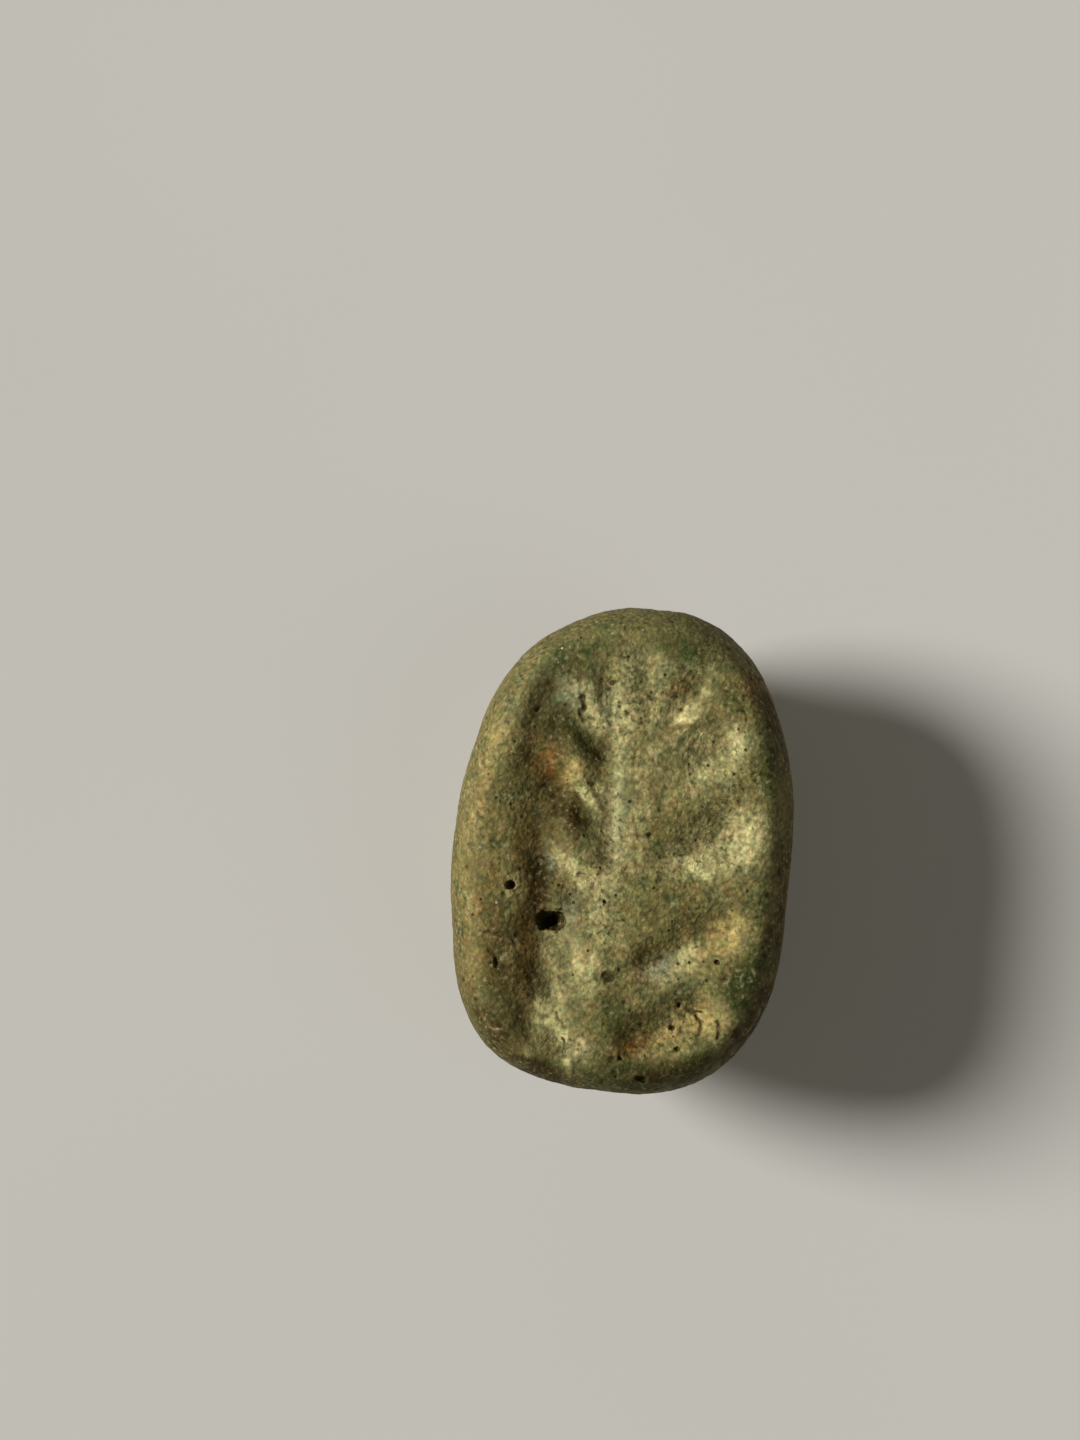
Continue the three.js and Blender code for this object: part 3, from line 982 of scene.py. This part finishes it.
    def hue_drift(
        self, tree: bpy.types.NodeTree, colour: bpy.types.NodeSocket, in_mm: bpy.types.NodeSocket
    ) -> bpy.types.NodeSocket:
        """Turns a colour a little greener or browner from grain to grain.

        Args:
            tree: The material's tree.
            colour: The colour to turn.
            in_mm: The place on the seal in millimetres.

        Returns:
            The turned colour.
        """
        drift = add_node(
            tree, "ShaderNodeTexNoise",
            {"Vector": in_mm, "Scale": 1 / self.drift_size, "Detail": 3.0, "Roughness": 0.7},
        ).outputs["Fac"]
        share = add_node(
            tree, "ShaderNodeMapRange",
            {"Value": drift, "From Min": self.drift_noise[0], "From Max": self.drift_noise[1]},
        ).outputs[0]
        turn = add_node(
            tree, "ShaderNodeMix", {"Factor": share, 6: self.greener, 7: self.browner}, data_type="RGBA"
        ).outputs[2]
        return add_node(
            tree, "ShaderNodeMix", {"Factor": 1.0, 6: colour, 7: turn},
            data_type="RGBA", blend_type="MULTIPLY",
        ).outputs[2]

    def toned(
        self,
        tree: bpy.types.NodeTree,
        colour: bpy.types.NodeSocket,
        pattern: bpy.types.NodeSocket,
        swing: float,
    ) -> bpy.types.NodeSocket:
        """Lightens and darkens a colour by a noise pattern.

        Args:
            tree: The material's tree.
            colour: The colour to tone.
            pattern: The noise, which lies around a half.
            swing: How far the tone goes either side of one.

        Returns:
            The toned colour.
        """
        tone = add_node(
            tree, "ShaderNodeMapRange",
            {
                "Value": pattern, "From Min": self.tone_noise[0], "From Max": self.tone_noise[1],
                "To Min": 1 - swing, "To Max": 1 + swing,
            },
        ).outputs[0]
        return add_node(
            tree, "ShaderNodeMix", {"Factor": 1.0, 6: colour, 7: tone},
            data_type="RGBA", blend_type="MULTIPLY",
        ).outputs[2]

    def peppered(
        self, tree: bpy.types.NodeTree, colour: bpy.types.NodeSocket, in_mm: bpy.types.NodeSocket
    ) -> bpy.types.NodeSocket:
        """Strews soft dark grains and bare quartz grains over a colour.

        Args:
            tree: The material's tree.
            colour: The colour under the grains.
            in_mm: The place on the seal in millimetres.

        Returns:
            The peppered colour.
        """
        specks = add_node(
            tree, "ShaderNodeTexNoise",
            {"Vector": in_mm, "Scale": 1 / self.speck_size, "Detail": 1.0},
        ).outputs["Fac"]
        clump = add_node(
            tree, "ShaderNodeTexNoise", {"Vector": in_mm, "Scale": 1 / self.clump_size, "Detail": 2.0}
        ).outputs["Fac"]
        crowd = add_node(
            tree, "ShaderNodeMapRange",
            {
                "Value": clump, "From Min": self.clump_noise[0], "From Max": self.clump_noise[1],
                "To Min": self.clump_least, "To Max": 1.0,
            },
        ).outputs[0]
        for fleck in (self.dark_grain, self.pale_grain):
            share = add_node(
                tree, "ShaderNodeMapRange",
                {"Value": specks, "From Min": fleck.start, "From Max": fleck.full, "To Max": fleck.share},
            ).outputs[0]
            share = add_node(
                tree, "ShaderNodeMath", {0: share, 1: crowd}, operation="MULTIPLY"
            ).outputs[0]
            colour = add_node(
                tree, "ShaderNodeMix", {"Factor": share, 6: colour, 7: srgb(fleck.tint)}, data_type="RGBA"
            ).outputs[2]
        return colour

    def painted_glints(
        self, tree: bpy.types.NodeTree, colour: bpy.types.NodeSocket, in_mm: bpy.types.NodeSocket
    ) -> bpy.types.NodeSocket:
        """Paints glints: bright spots where a few coarse quartz grains catch the light.

        Args:
            tree: The material's tree.
            colour: The colour under the grains.
            in_mm: The place on the seal in millimetres.

        Returns:
            The colour with its painted glints.
        """
        cells = add_node(
            tree, "ShaderNodeTexVoronoi", {"Vector": in_mm, "Scale": 1 / self.glint_spacing}
        )
        near = add_node(
            tree, "ShaderNodeMapRange",
            {
                "Value": cells.outputs["Distance"], "From Min": self.glint_reach,
                "From Max": self.glint_reach * self.glint_core, "To Max": self.glint_share,
            },
        ).outputs[0]
        return add_node(
            tree, "ShaderNodeMix", {"Factor": near, 6: colour, 7: srgb(self.quartz)}, data_type="RGBA"
        ).outputs[2]

    def pinholes(self, tree: bpy.types.NodeTree, in_mm: bpy.types.NodeSocket) -> bpy.types.NodeSocket:
        """Scatters the smallest open bubbles, too small to model, as painted shade and a dip in the bump.

        Args:
            tree: The material's tree.
            in_mm: The place on the seal in millimetres.

        Returns:
            One in a pinhole and zero outside.
        """
        gap = add_node(
            tree, "ShaderNodeTexVoronoi", {"Vector": in_mm, "Scale": 1 / self.pinhole_spacing}
        ).outputs["Distance"]
        return add_node(
            tree, "ShaderNodeMapRange",
            {
                "Value": gap, "From Min": self.pinhole_reach,
                "From Max": self.pinhole_reach * self.pinhole_core, "To Max": self.pinhole_shade_share,
            },
        ).outputs[0]


@dataclass(frozen=True)
class MattTable:
    """Matt emulsion rolled on a board: the eye sees a pale, even surface without any shine.

    Attributes:
        paint: Its colour.
        shade: The slightly darker colour that it drifts to.
        cloud_size: Width of one such drift in millimetres.
        roughness: Its roughness.
        specular: Strength of its sheen.
    """

    paint: str = "#d9d6cf"
    shade: str = "#d2cfc8"
    cloud_size: float = 100 / 3
    roughness: float = 0.95
    specular: float = 0.1

    def material(self) -> bpy.types.Material:
        """Builds the board's paint.

        Returns:
            The material.
        """
        finish = bpy.data.materials.new("matt_paint")
        finish.use_nodes = True
        tree = finish.node_tree
        shader = tree.nodes["Principled BSDF"]
        place = add_node(tree, "ShaderNodeTexCoord").outputs["Object"]
        scale = 1 / (self.cloud_size * MM)
        cloud = add_node(tree, "ShaderNodeTexNoise", {"Vector": place, "Scale": scale}).outputs["Fac"]
        paint = add_node(
            tree, "ShaderNodeMix", {"Factor": cloud, 6: srgb(self.paint), 7: srgb(self.shade)},
            data_type="RGBA",
        ).outputs[2]
        tree.links.new(paint, shader.inputs["Base Color"])
        shader.inputs["Roughness"].default_value = self.roughness
        shader.inputs["Specular IOR Level"].default_value = self.specular
        return finish


# ---- The seal ----


@dataclass(frozen=True)
class ThreadBore:
    """The bore that runs the length of the seal for its thread, wider at both mouths.

    Attributes:
        radius: Its radius.
        height: Height of its axis above the table.
        end: Distance from the middle to the flat at either end.
        mouth_radius: Its radius at that flat.
        mouth_depth: How far in it has worn wider.
        worn_edge: The wear of a mouth's edge fades over this distance.
        wear_end: How many times this distance off the edge it is gone.
        wear_rounds: How often the worn edge is averaged. More rounds it further.
        weld: Distance in which the cut's loose corners are merged.
        short_side: A face of the cut with a side shorter than this may fold on its neighbour.
        sides: How many flat sides make its round.
        step: Spacing of the rings along it.
    """

    radius: float = 0.8
    height: float = 4.3
    end: float = 8.06
    mouth_radius: float = 1.05
    mouth_depth: float = 0.5
    worn_edge: float = 0.22
    wear_end: float = 1.5
    wear_rounds: int = 6
    weld: float = 0.02
    short_side: float = 0.06
    sides: int = 48
    step: float = 0.25

    def radius_at(self, y: float) -> float:
        """Gives the radius at y, widening towards and past the mouths."""
        past = max(abs(y) - (self.end - self.mouth_depth), 0) / self.mouth_depth
        return self.radius + (self.mouth_radius - self.radius) * past

    def drill(self) -> bpy.types.Object:
        """Makes the shape that is cut away, a little longer than the seal.

        Returns:
            The drill, as a closed mesh.
        """
        reach = self.end + 2 * self.mouth_depth
        steps = round(2 * reach / self.step)
        stride = 2 * reach / steps
        bpy.ops.mesh.primitive_circle_add(
            vertices=self.sides, radius=self.radius_at(-reach) * MM, fill_type="NGON",
            location=(0, -reach * MM, self.height * MM), rotation=(math.pi / 2, 0, 0),
        )
        drill = bpy.context.object
        bpy.ops.object.transform_apply(location=True, rotation=True, scale=True)
        bpy.ops.object.mode_set(mode="EDIT")
        bpy.ops.mesh.select_all(action="SELECT")
        for index in range(steps):
            y = -reach + index * stride
            bpy.ops.mesh.extrude_region_move(TRANSFORM_OT_translate={"value": (0, stride * MM, 0)})
            grow = self.radius_at(y + stride) / self.radius_at(y)
            bpy.ops.transform.resize(
                value=(grow, 1, grow), center_override=(0, (y + stride) * MM, self.height * MM)
            )
        bpy.ops.mesh.select_all(action="SELECT")
        bpy.ops.mesh.normals_make_consistent(inside=False)
        bpy.ops.mesh.select_all(action="DESELECT")
        bpy.ops.object.mode_set(mode="OBJECT")
        return drill


@dataclass(frozen=True)
class Settling:
    """How dirt and painted shade gather by the shape, wear bares the crests, and clouds of stain cover the
    hidden sides.

    Attributes:
        hollow_rounds: How often the surface is averaged to find its hollows and crests.
        crevice_rounds: The same for its crevices.
        hollow_depth: A hollow this deep holds its full share of dirt and painted shade.
        hollow_dirt_and_shade: That share.
        crevice_depth: A crevice this deep holds its full share of dirt and painted shade.
        crevice_dirt_and_shade: That share.
        crest_height: A crest this high is worn to its full share of bare body.
        crest_bare: That share.
        rim_shade: Share of painted shade, in the dirt's colour, where the face rolls over to the flank.
        pit_dirt_and_shade: Share of dirt and painted shade deep in a pit or crack. Past one, its slopes are
            dark too.
        black_depth: Depth from which a pit or crack holds that share.
        stray: How far the edges of the stains stray.
        stray_size: Width of one such stray.
        green_size: Width of a green cloud.
        green_gain: How sharply its share rises from the noise.
        green_base: Its share where the noise is nought.
        green_most: Its greatest share.
        ochre_size: Width of an ochre cloud.
        ochre_gain: How sharply its share rises.
        ochre_most: Its greatest share.
        rust_gain: How sharply the rust's share rises where both noises are strong.
        rust_most: Its greatest share.
    """

    hollow_rounds: int = 60
    crevice_rounds: int = 6
    hollow_depth: float = 0.12
    hollow_dirt_and_shade: float = 0.2
    crevice_depth: float = 0.03
    crevice_dirt_and_shade: float = 0.7
    crest_height: float = 0.08
    crest_bare: float = 0.15
    rim_shade: float = 0.3
    pit_dirt_and_shade: float = 2.0
    black_depth: float = 0.18
    stray: float = 0.25
    stray_size: float = 0.8
    green_size: float = 3.2
    green_gain: float = 1.6
    green_base: float = 0.2
    green_most: float = 0.9
    ochre_size: float = 2.4
    ochre_gain: float = 1.4
    ochre_most: float = 0.6
    rust_gain: float = 3.0
    rust_most: float = 0.5

    def add_to(
        self, shares: dict[Stain, np.ndarray], mesh: bpy.types.Mesh, points: np.ndarray, normals: np.ndarray
    ) -> None:
        """Adds what follows from the shape to the stains' shares: dirt and painted shade in hollows,
        crevices and at the rim, and bare body on crests.

        Args:
            shares: Each stain's share at every vertex.
            mesh: The piece's mesh.
            points: Where its vertices are.
            normals: Their normals.
        """
        broad = neighbour_mean(mesh, points, self.hollow_rounds)
        hollow = np.einsum("ij,ij->i", broad - points, normals)
        fine = neighbour_mean(mesh, points, self.crevice_rounds)
        crevice = np.einsum("ij,ij->i", fine - points, normals)
        rise = normals[:, 2]
        rim = ramp(rise, RIM_INSIDE, RIM_FULL) * ramp(rise, RIM_END, RIM_FADING)
        # Dirt and painted shade: the hollows and crevices are darkened in the dirt's colour by their depth.
        dirt_and_shade_in_hollows = ramp(hollow, 0, self.hollow_depth) * self.hollow_dirt_and_shade
        shares[Stain.BROWN_DIRT_AND_SHADE] += dirt_and_shade_in_hollows + ramp(crevice, 0, self.crevice_depth) * self.crevice_dirt_and_shade
        # Painted shade where the face rolls over to the flank.
        shares[Stain.BROWN_DIRT_AND_SHADE] += rim * self.rim_shade
        shares[Stain.BARE_CREAM_AND_LIGHT] += ramp(hollow, 0, -self.crest_height) * self.crest_bare

    def cloud_over(self, shares: dict[Stain, np.ndarray], points: np.ndarray, away: np.ndarray) -> None:
        """Stains the flanks and the back in broad clouds, with rust where the two kinds meet.

        Args:
            shares: Each stain's share at every vertex, which this adds to.
            points: Where the vertices are.
            away: One where a vertex looks away from the sealing face's side, and zero on the face.
        """
        green = soft_noise(points, self.green_size, Pattern.GREEN_CLOUD)
        ochre = soft_noise(points, self.ochre_size, Pattern.OCHRE_CLOUD)
        in_green = np.clip(green * self.green_gain + self.green_base, 0, self.green_most)
        shares[Stain.COPPER_GREEN] += away * in_green
        shares[Stain.OCHRE] += away * np.clip(ochre * self.ochre_gain, 0, self.ochre_most)
        shares[Stain.IRON_RUST] += away * np.clip(ochre * green * self.rust_gain, 0, self.rust_most)


@dataclass
class ScarabSeal:
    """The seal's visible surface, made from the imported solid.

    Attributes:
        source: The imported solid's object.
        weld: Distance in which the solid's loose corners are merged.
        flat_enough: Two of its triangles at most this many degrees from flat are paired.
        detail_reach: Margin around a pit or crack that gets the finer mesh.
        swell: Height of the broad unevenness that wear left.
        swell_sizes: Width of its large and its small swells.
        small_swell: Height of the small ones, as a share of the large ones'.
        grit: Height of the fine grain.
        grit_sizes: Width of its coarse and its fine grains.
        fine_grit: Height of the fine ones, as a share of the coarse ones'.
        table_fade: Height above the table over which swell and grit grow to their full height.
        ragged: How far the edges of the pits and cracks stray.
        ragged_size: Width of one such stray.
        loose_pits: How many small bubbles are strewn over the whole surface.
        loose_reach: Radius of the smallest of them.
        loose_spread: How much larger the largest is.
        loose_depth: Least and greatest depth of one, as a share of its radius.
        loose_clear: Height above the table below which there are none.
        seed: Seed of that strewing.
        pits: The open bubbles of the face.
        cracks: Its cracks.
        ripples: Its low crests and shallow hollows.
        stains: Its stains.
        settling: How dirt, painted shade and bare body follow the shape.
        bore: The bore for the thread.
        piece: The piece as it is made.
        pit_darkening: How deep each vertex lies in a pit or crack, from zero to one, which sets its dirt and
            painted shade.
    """

    source: bpy.types.Object
    weld: float = 0.002
    flat_enough: float = 60.0
    detail_reach: float = 0.12
    swell: float = 0.025
    swell_sizes: Point = (1.4, 0.6)
    small_swell: float = 0.5
    grit: float = 0.014
    grit_sizes: Point = (0.24, 0.13)
    fine_grit: float = 0.6
    table_fade: float = 0.4
    ragged: float = 0.08
    ragged_size: float = 0.28
    loose_pits: int = 420
    loose_reach: float = 0.07
    loose_spread: float = 0.07
    loose_depth: Point = (0.25, 0.5)
    loose_clear: float = 0.3
    seed: int = 7
    pits: tuple[Pit, ...] = FACE_PITS
    cracks: tuple[Crease, ...] = FACE_CRACKS
    ripples: tuple[Crease, ...] = FACE_RIPPLES
    stains: dict[Stain, tuple[StainPatch, ...]] = field(default_factory=lambda: FACE_STAINS)
    settling: Settling = Settling()
    bore: ThreadBore = ThreadBore()
    piece: bpy.types.Object = field(init=False)
    pit_darkening: np.ndarray = field(init=False)

    def build(self) -> bpy.types.Object:
        """Makes the surface and dresses it.

        Returns:
            The finished piece.
        """
        self.copy_solid()
        self.close_bore()
        self.subdivide_surface()
        self.refine_detail()
        self.subdivide_surface()
        self.drill_bore()
        self.weather()
        self.open_pits()
        self.paint()
        self.dress()
        return self.piece

    def copy_solid(self) -> None:
        """Copies the solid, welds its corners and pairs its triangles into four-sided faces."""
        self.piece = self.source.copy()
        self.piece.data = self.source.data.copy()
        self.piece.name = "seal_body"
        self.piece.parent = None
        bpy.context.collection.objects.link(self.piece)
        open_for_edit(self.piece)
        bpy.ops.mesh.remove_doubles(threshold=self.weld * MM)
        limit = math.radians(self.flat_enough)
        bpy.ops.mesh.tris_convert_to_quads(face_threshold=limit, shape_threshold=limit)
        close_edit()

    def close_bore(self) -> None:
        """Takes the solid's coarse bore out of the copy and closes its two mouths."""
        middles, facing = read_faces(self.piece.data)
        x, z = middles[:, 0], middles[:, 2] - self.bore.height
        looks_inward = facing[:, 0] * x + facing[:, 2] * z < 0
        looks_along = np.abs(facing[:, 1]) >= LOOKS_ALONG
        open_for_edit(self.piece, (np.hypot(x, z) < self.bore.mouth_radius) & looks_inward & ~looks_along)
        bpy.ops.mesh.delete(type="FACE")
        bpy.ops.mesh.select_all(action="SELECT")
        bpy.ops.mesh.fill_holes(sides=0)
        close_edit()

    def drill_bore(self) -> None:
        """Drills the bore again through the fine mesh, and wears the edges of its mouths round."""
        drill = self.bore.drill()
        select_only(self.piece)
        cut = self.piece.modifiers.new("bore", "BOOLEAN")
        cut.object = drill
        cut.operation = "DIFFERENCE"
        cut.solver = "EXACT"
        bpy.ops.object.modifier_apply(modifier=cut.name)
        bpy.data.objects.remove(drill)
        mesh = self.piece.data
        put_in_order(mesh)
        open_for_edit(self.piece)
        bpy.ops.mesh.remove_doubles(threshold=self.bore.weld * MM)
        close_edit()
        drop_folds(mesh, self.bore.short_side)
        points = read_points(mesh)
        from_axis = np.hypot(points[:, 0], points[:, 2] - self.bore.height)
        off_edge = np.hypot(from_axis - self.bore.mouth_radius, np.abs(points[:, 1]) - self.bore.end)
        share = np.clip(self.bore.wear_end - off_edge / self.bore.worn_edge, 0, 1)[:, None]
        worn = neighbour_mean(mesh, points, self.bore.wear_rounds)
        write_points(mesh, points + (worn - points) * share)

    def subdivide_surface(self) -> None:
        """Rounds the mesh with one level of Subdivision Surface."""
        select_only(self.piece)
        smooth = self.piece.modifiers.new("round", "SUBSURF")
        smooth.levels = 1
        smooth.render_levels = 1
        bpy.ops.object.modifier_apply(modifier=smooth.name)

    def refine_detail(self) -> None:
        """Gives the faces around each pit and crack a finer mesh."""
        middles, facing = read_faces(self.piece.data)
        x, y = middles[:, 0], middles[:, 1]
        near = np.zeros(len(x), dtype=bool)
        for pit in self.pits:
            half_size = tuple(half + self.detail_reach for half in pit.half_size)
            near |= Pit(pit.centre, half_size, 1.0, pit.turn).depth_at(x, y) > 0
        for crack in self.cracks:
            half_width = crack.half_width + self.detail_reach
            near |= Crease(crack.start, crack.end, crack.bow, half_width, 1.0).depth_at(x, y) > 0
        open_for_edit(self.piece, near & (facing[:, 2] > FACE_EDGE))
        bpy.ops.mesh.subdivide(number_cuts=1)
        close_edit()

    def weather(self) -> None:
        """Moves the surface in and out by the wear's broad swells and the glaze's fine grain."""
        mesh = self.piece.data
        points, normals = read_points(mesh), read_normals(mesh)
        swell = soft_noise(points, self.swell_sizes[0], Pattern.SWELL)
        swell += self.small_swell * soft_noise(points, self.swell_sizes[1], Pattern.SMALL_SWELL)
        grit = soft_noise(points, self.grit_sizes[0], Pattern.GRIT)
        grit += self.fine_grit * soft_noise(points, self.grit_sizes[1], Pattern.FINE_GRIT)
        height = self.swell * swell + self.grit * grit
        off_table = ramp(points[:, 2], 0, self.table_fade)
        write_points(mesh, points + normals * (height * off_table)[:, None])

    def open_pits(self) -> None:
        """Sinks the named pits, cracks and ripples in the face, and strews small bubbles everywhere."""
        mesh = self.piece.data
        points, normals = read_points(mesh), read_normals(mesh)
        x = points[:, 0] + self.ragged * soft_noise(points, self.ragged_size, Pattern.RAGGED_X)
        y = points[:, 1] + self.ragged * soft_noise(points, self.ragged_size, Pattern.RAGGED_Y)
        on_face = ramp(normals[:, 2], FACE_EDGE, FACE_INSIDE)
        sunk = np.zeros(len(points))
        for mark in (*self.pits, *self.cracks):
            sunk = np.maximum(sunk, mark.depth_at(x, y) * on_face)
        # How deep each point lies in a pit or crack, for its dirt and painted shade.
        self.pit_darkening = ramp(sunk, 0, self.settling.black_depth)
        for ripple in self.ripples:
            sunk += ripple.depth_at(x, y) * on_face
        moved = points.copy()
        moved[:, 2] -= sunk
        self.strew_bubbles(points, normals, moved)
        write_points(mesh, moved)

    def strew_bubbles(self, points: np.ndarray, normals: np.ndarray, moved: np.ndarray) -> None:
        """Sinks small round bubbles at places drawn by chance.

        Args:
            points: Where the vertices are.
            normals: Their normals.
            moved: Where they go, which the bubbles change.
        """
        tree = KDTree(len(points))
        for index, point in enumerate(points):
            tree.insert(point, index)
        tree.balance()
        draw = random.Random(self.seed)
        for _ in range(self.loose_pits):
            centre = draw.randrange(len(points))
            reach = self.loose_reach + self.loose_spread * draw.random() ** 3
            depth = reach * draw.uniform(*self.loose_depth)
            if points[centre, 2] < self.loose_clear:
                continue
            for _, index, gap in tree.find_range(points[centre], reach):
                moved[index] -= normals[index] * depth * (1 - (gap / reach) ** 2)

    def paint(self) -> None:
        """Stores each stain's share at every vertex: the named patches, and what follows the shape, with its
        painted shade.
        """
        mesh = self.piece.data
        points, normals = read_points(mesh), read_normals(mesh)
        settling = self.settling
        x = points[:, 0] + settling.stray * soft_noise(points, settling.stray_size, Pattern.STAIN_EDGE_X)
        y = points[:, 1] + settling.stray * soft_noise(points, settling.stray_size, Pattern.STAIN_EDGE_Y)
        on_face = ramp(normals[:, 2], STAINS_END, STAINS_INSIDE)
        shares = {stain: np.zeros(len(points)) for stain in Stain}
        for stain, patches in self.stains.items():
            for patch in patches:
                shares[stain] = np.maximum(shares[stain], patch.cover(x, y) * on_face)
        settling.add_to(shares, mesh, points, normals)
        # Dirt and painted shade deep in the pits and cracks, dark even on their lit slopes.
        shares[Stain.BROWN_DIRT_AND_SHADE] += settling.pit_dirt_and_shade * self.pit_darkening
        settling.cloud_over(shares, points, 1 - on_face)
        for stain, share in shares.items():
            layer = mesh.attributes.new(stain.value, "FLOAT", "POINT")
            layer.data.foreach_set("value", np.clip(share, 0, 1).astype(np.float32))

    def dress(self) -> None:
        """Gives the piece its glaze and smooth shading, and hands it to the frame."""
        mesh = self.piece.data
        mesh.materials.clear()
        mesh.materials.append(WornGlaze().material())
        select_only(self.piece)
        bpy.ops.object.shade_smooth()
        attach(self.piece, "root")
        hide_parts(NODE)


# ---- The studio ----


@dataclass(frozen=True)
class SoftLight:
    """A broad light so far away that it falls evenly on the whole table.

    Attributes:
        name: The light's name.
        azimuth: Where it stands, in degrees anticlockwise from +X.
        elevation: Its height above the horizon, in degrees.
        breadth: How wide it looks from the seal, in degrees.
        strength: Its power over an area square to it, in watts per square metre.
    """

    name: str
    azimuth: float
    elevation: float
    breadth: float
    strength: float

    def build(self) -> None:
        """Adds the light."""
        turn, rise = math.radians(self.azimuth), math.radians(self.elevation)
        towards = Vector((math.cos(turn) * math.cos(rise), math.sin(turn) * math.cos(rise), math.sin(rise)))
        bpy.ops.object.light_add(type="SUN", location=towards)
        light = bpy.context.object
        light.name = self.name
        light.rotation_euler = towards.to_track_quat("Z", "Y").to_euler()
        light.data.angle = math.radians(self.breadth)
        light.data.energy = self.strength


@dataclass(frozen=True)
class Studio:
    """Table, lights and camera.

    Attributes:
        lean: How far the seal's head end leans to the right in the picture, in degrees.
        picture_height: How much of the outline's level the picture spans from top to bottom.
        outline_level: Height of the seal's widest outline above the table.
        seal_off_middle: How far the seal's middle lies right of and above the picture's middle.
        lens: The camera's focal length.
        sensor: The side of the sensor that spans the picture's height.
        table_side: Length of the table's side.
        sky: Colour of the room's even light.
        sky_strength: Its strength overhead.
        wall_strength: Its strength off the pale walls, near the horizon.
        wall_top: Sine of the elevation up to which the walls reach.
        wall_fade: Sine of the elevation from which there is only sky, as a multiple of wall_top.
        nearest: Distance from the camera at which it starts to see.
        farthest: Distance at which it stops.
        lights: The broad lights.
    """

    lean: float = 5.8
    picture_height: float = 48.0
    outline_level: float = 5.85
    seal_off_middle: Point = (2.75, -4.32)
    lens: float = 100.0
    sensor: float = 36.0
    table_side: float = 1600.0
    sky: str = "#dcd8c8"
    sky_strength: float = 0.1
    wall_strength: float = 0.48
    wall_top: float = 0.16
    wall_fade: float = 2.5
    nearest: float = 5.0
    farthest: float = 10000.0
    lights: tuple[SoftLight, ...] = (
        SoftLight("key_light", azimuth=171, elevation=33, breadth=20, strength=3.75),
        SoftLight("fill_light", azimuth=-20, elevation=50, breadth=45, strength=0.2),
    )

    def build(self) -> None:
        """Sets the whole studio up."""
        self.lay_table()
        self.light()
        self.place_camera()

    def lay_table(self) -> None:
        """Adds the pale table that the seal lies on."""
        bpy.ops.mesh.primitive_plane_add(size=self.table_side * MM)
        table = bpy.context.object
        table.name = "table"
        table.data.materials.append(MattTable().material())

    def light(self) -> None:
        """Adds the broad lights and the even light of the room."""
        for soft_light in self.lights:
            soft_light.build()
        world = bpy.data.worlds.new("room")
        world.use_nodes = True
        tree = world.node_tree
        glow = tree.nodes["Background"]
        glow.inputs["Color"].default_value = srgb(self.sky)
        direction = add_node(tree, "ShaderNodeTexCoord").outputs["Generated"]
        height = add_node(tree, "ShaderNodeSeparateXYZ", {0: direction}).outputs["Z"]
        strength = add_node(
            tree, "ShaderNodeMapRange",
            {
                "Value": height, "From Min": self.wall_top, "From Max": self.wall_fade * self.wall_top,
                "To Min": self.wall_strength, "To Max": self.sky_strength,
            },
            interpolation_type="SMOOTHSTEP",
        ).outputs[0]
        tree.links.new(strength, glow.inputs["Strength"])
        bpy.context.scene.world = world

    def place_camera(self) -> None:
        """Adds the camera, looking straight down."""
        lean = math.radians(self.lean)
        right, up = -self.seal_off_middle[0], -self.seal_off_middle[1]
        x = right * math.cos(lean) - up * math.sin(lean)
        y = right * math.sin(lean) + up * math.cos(lean)
        height = self.outline_level + self.picture_height * self.lens / self.sensor
        bpy.ops.object.camera_add(location=(x * MM, y * MM, height * MM), rotation=(0, 0, lean))
        camera = bpy.context.object
        camera.name = "camera"
        camera.data.lens = self.lens
        camera.data.sensor_width = self.sensor
        camera.data.clip_start = self.nearest * MM
        camera.data.clip_end = self.farthest * MM
        bpy.context.scene.camera = camera
        bpy.context.scene.view_settings.view_transform = "Standard"


def main() -> None:
    """Builds the seal and its studio."""
    logging.basicConfig(level=logging.INFO, format="%(message)s")
    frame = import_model()
    Studio().build()
    seal = ScarabSeal(frame["nodes"][NODE]).build()
    log.info("%s: %d faces", seal.name, len(seal.data.polygons))


if __name__ == "__main__":
    main()
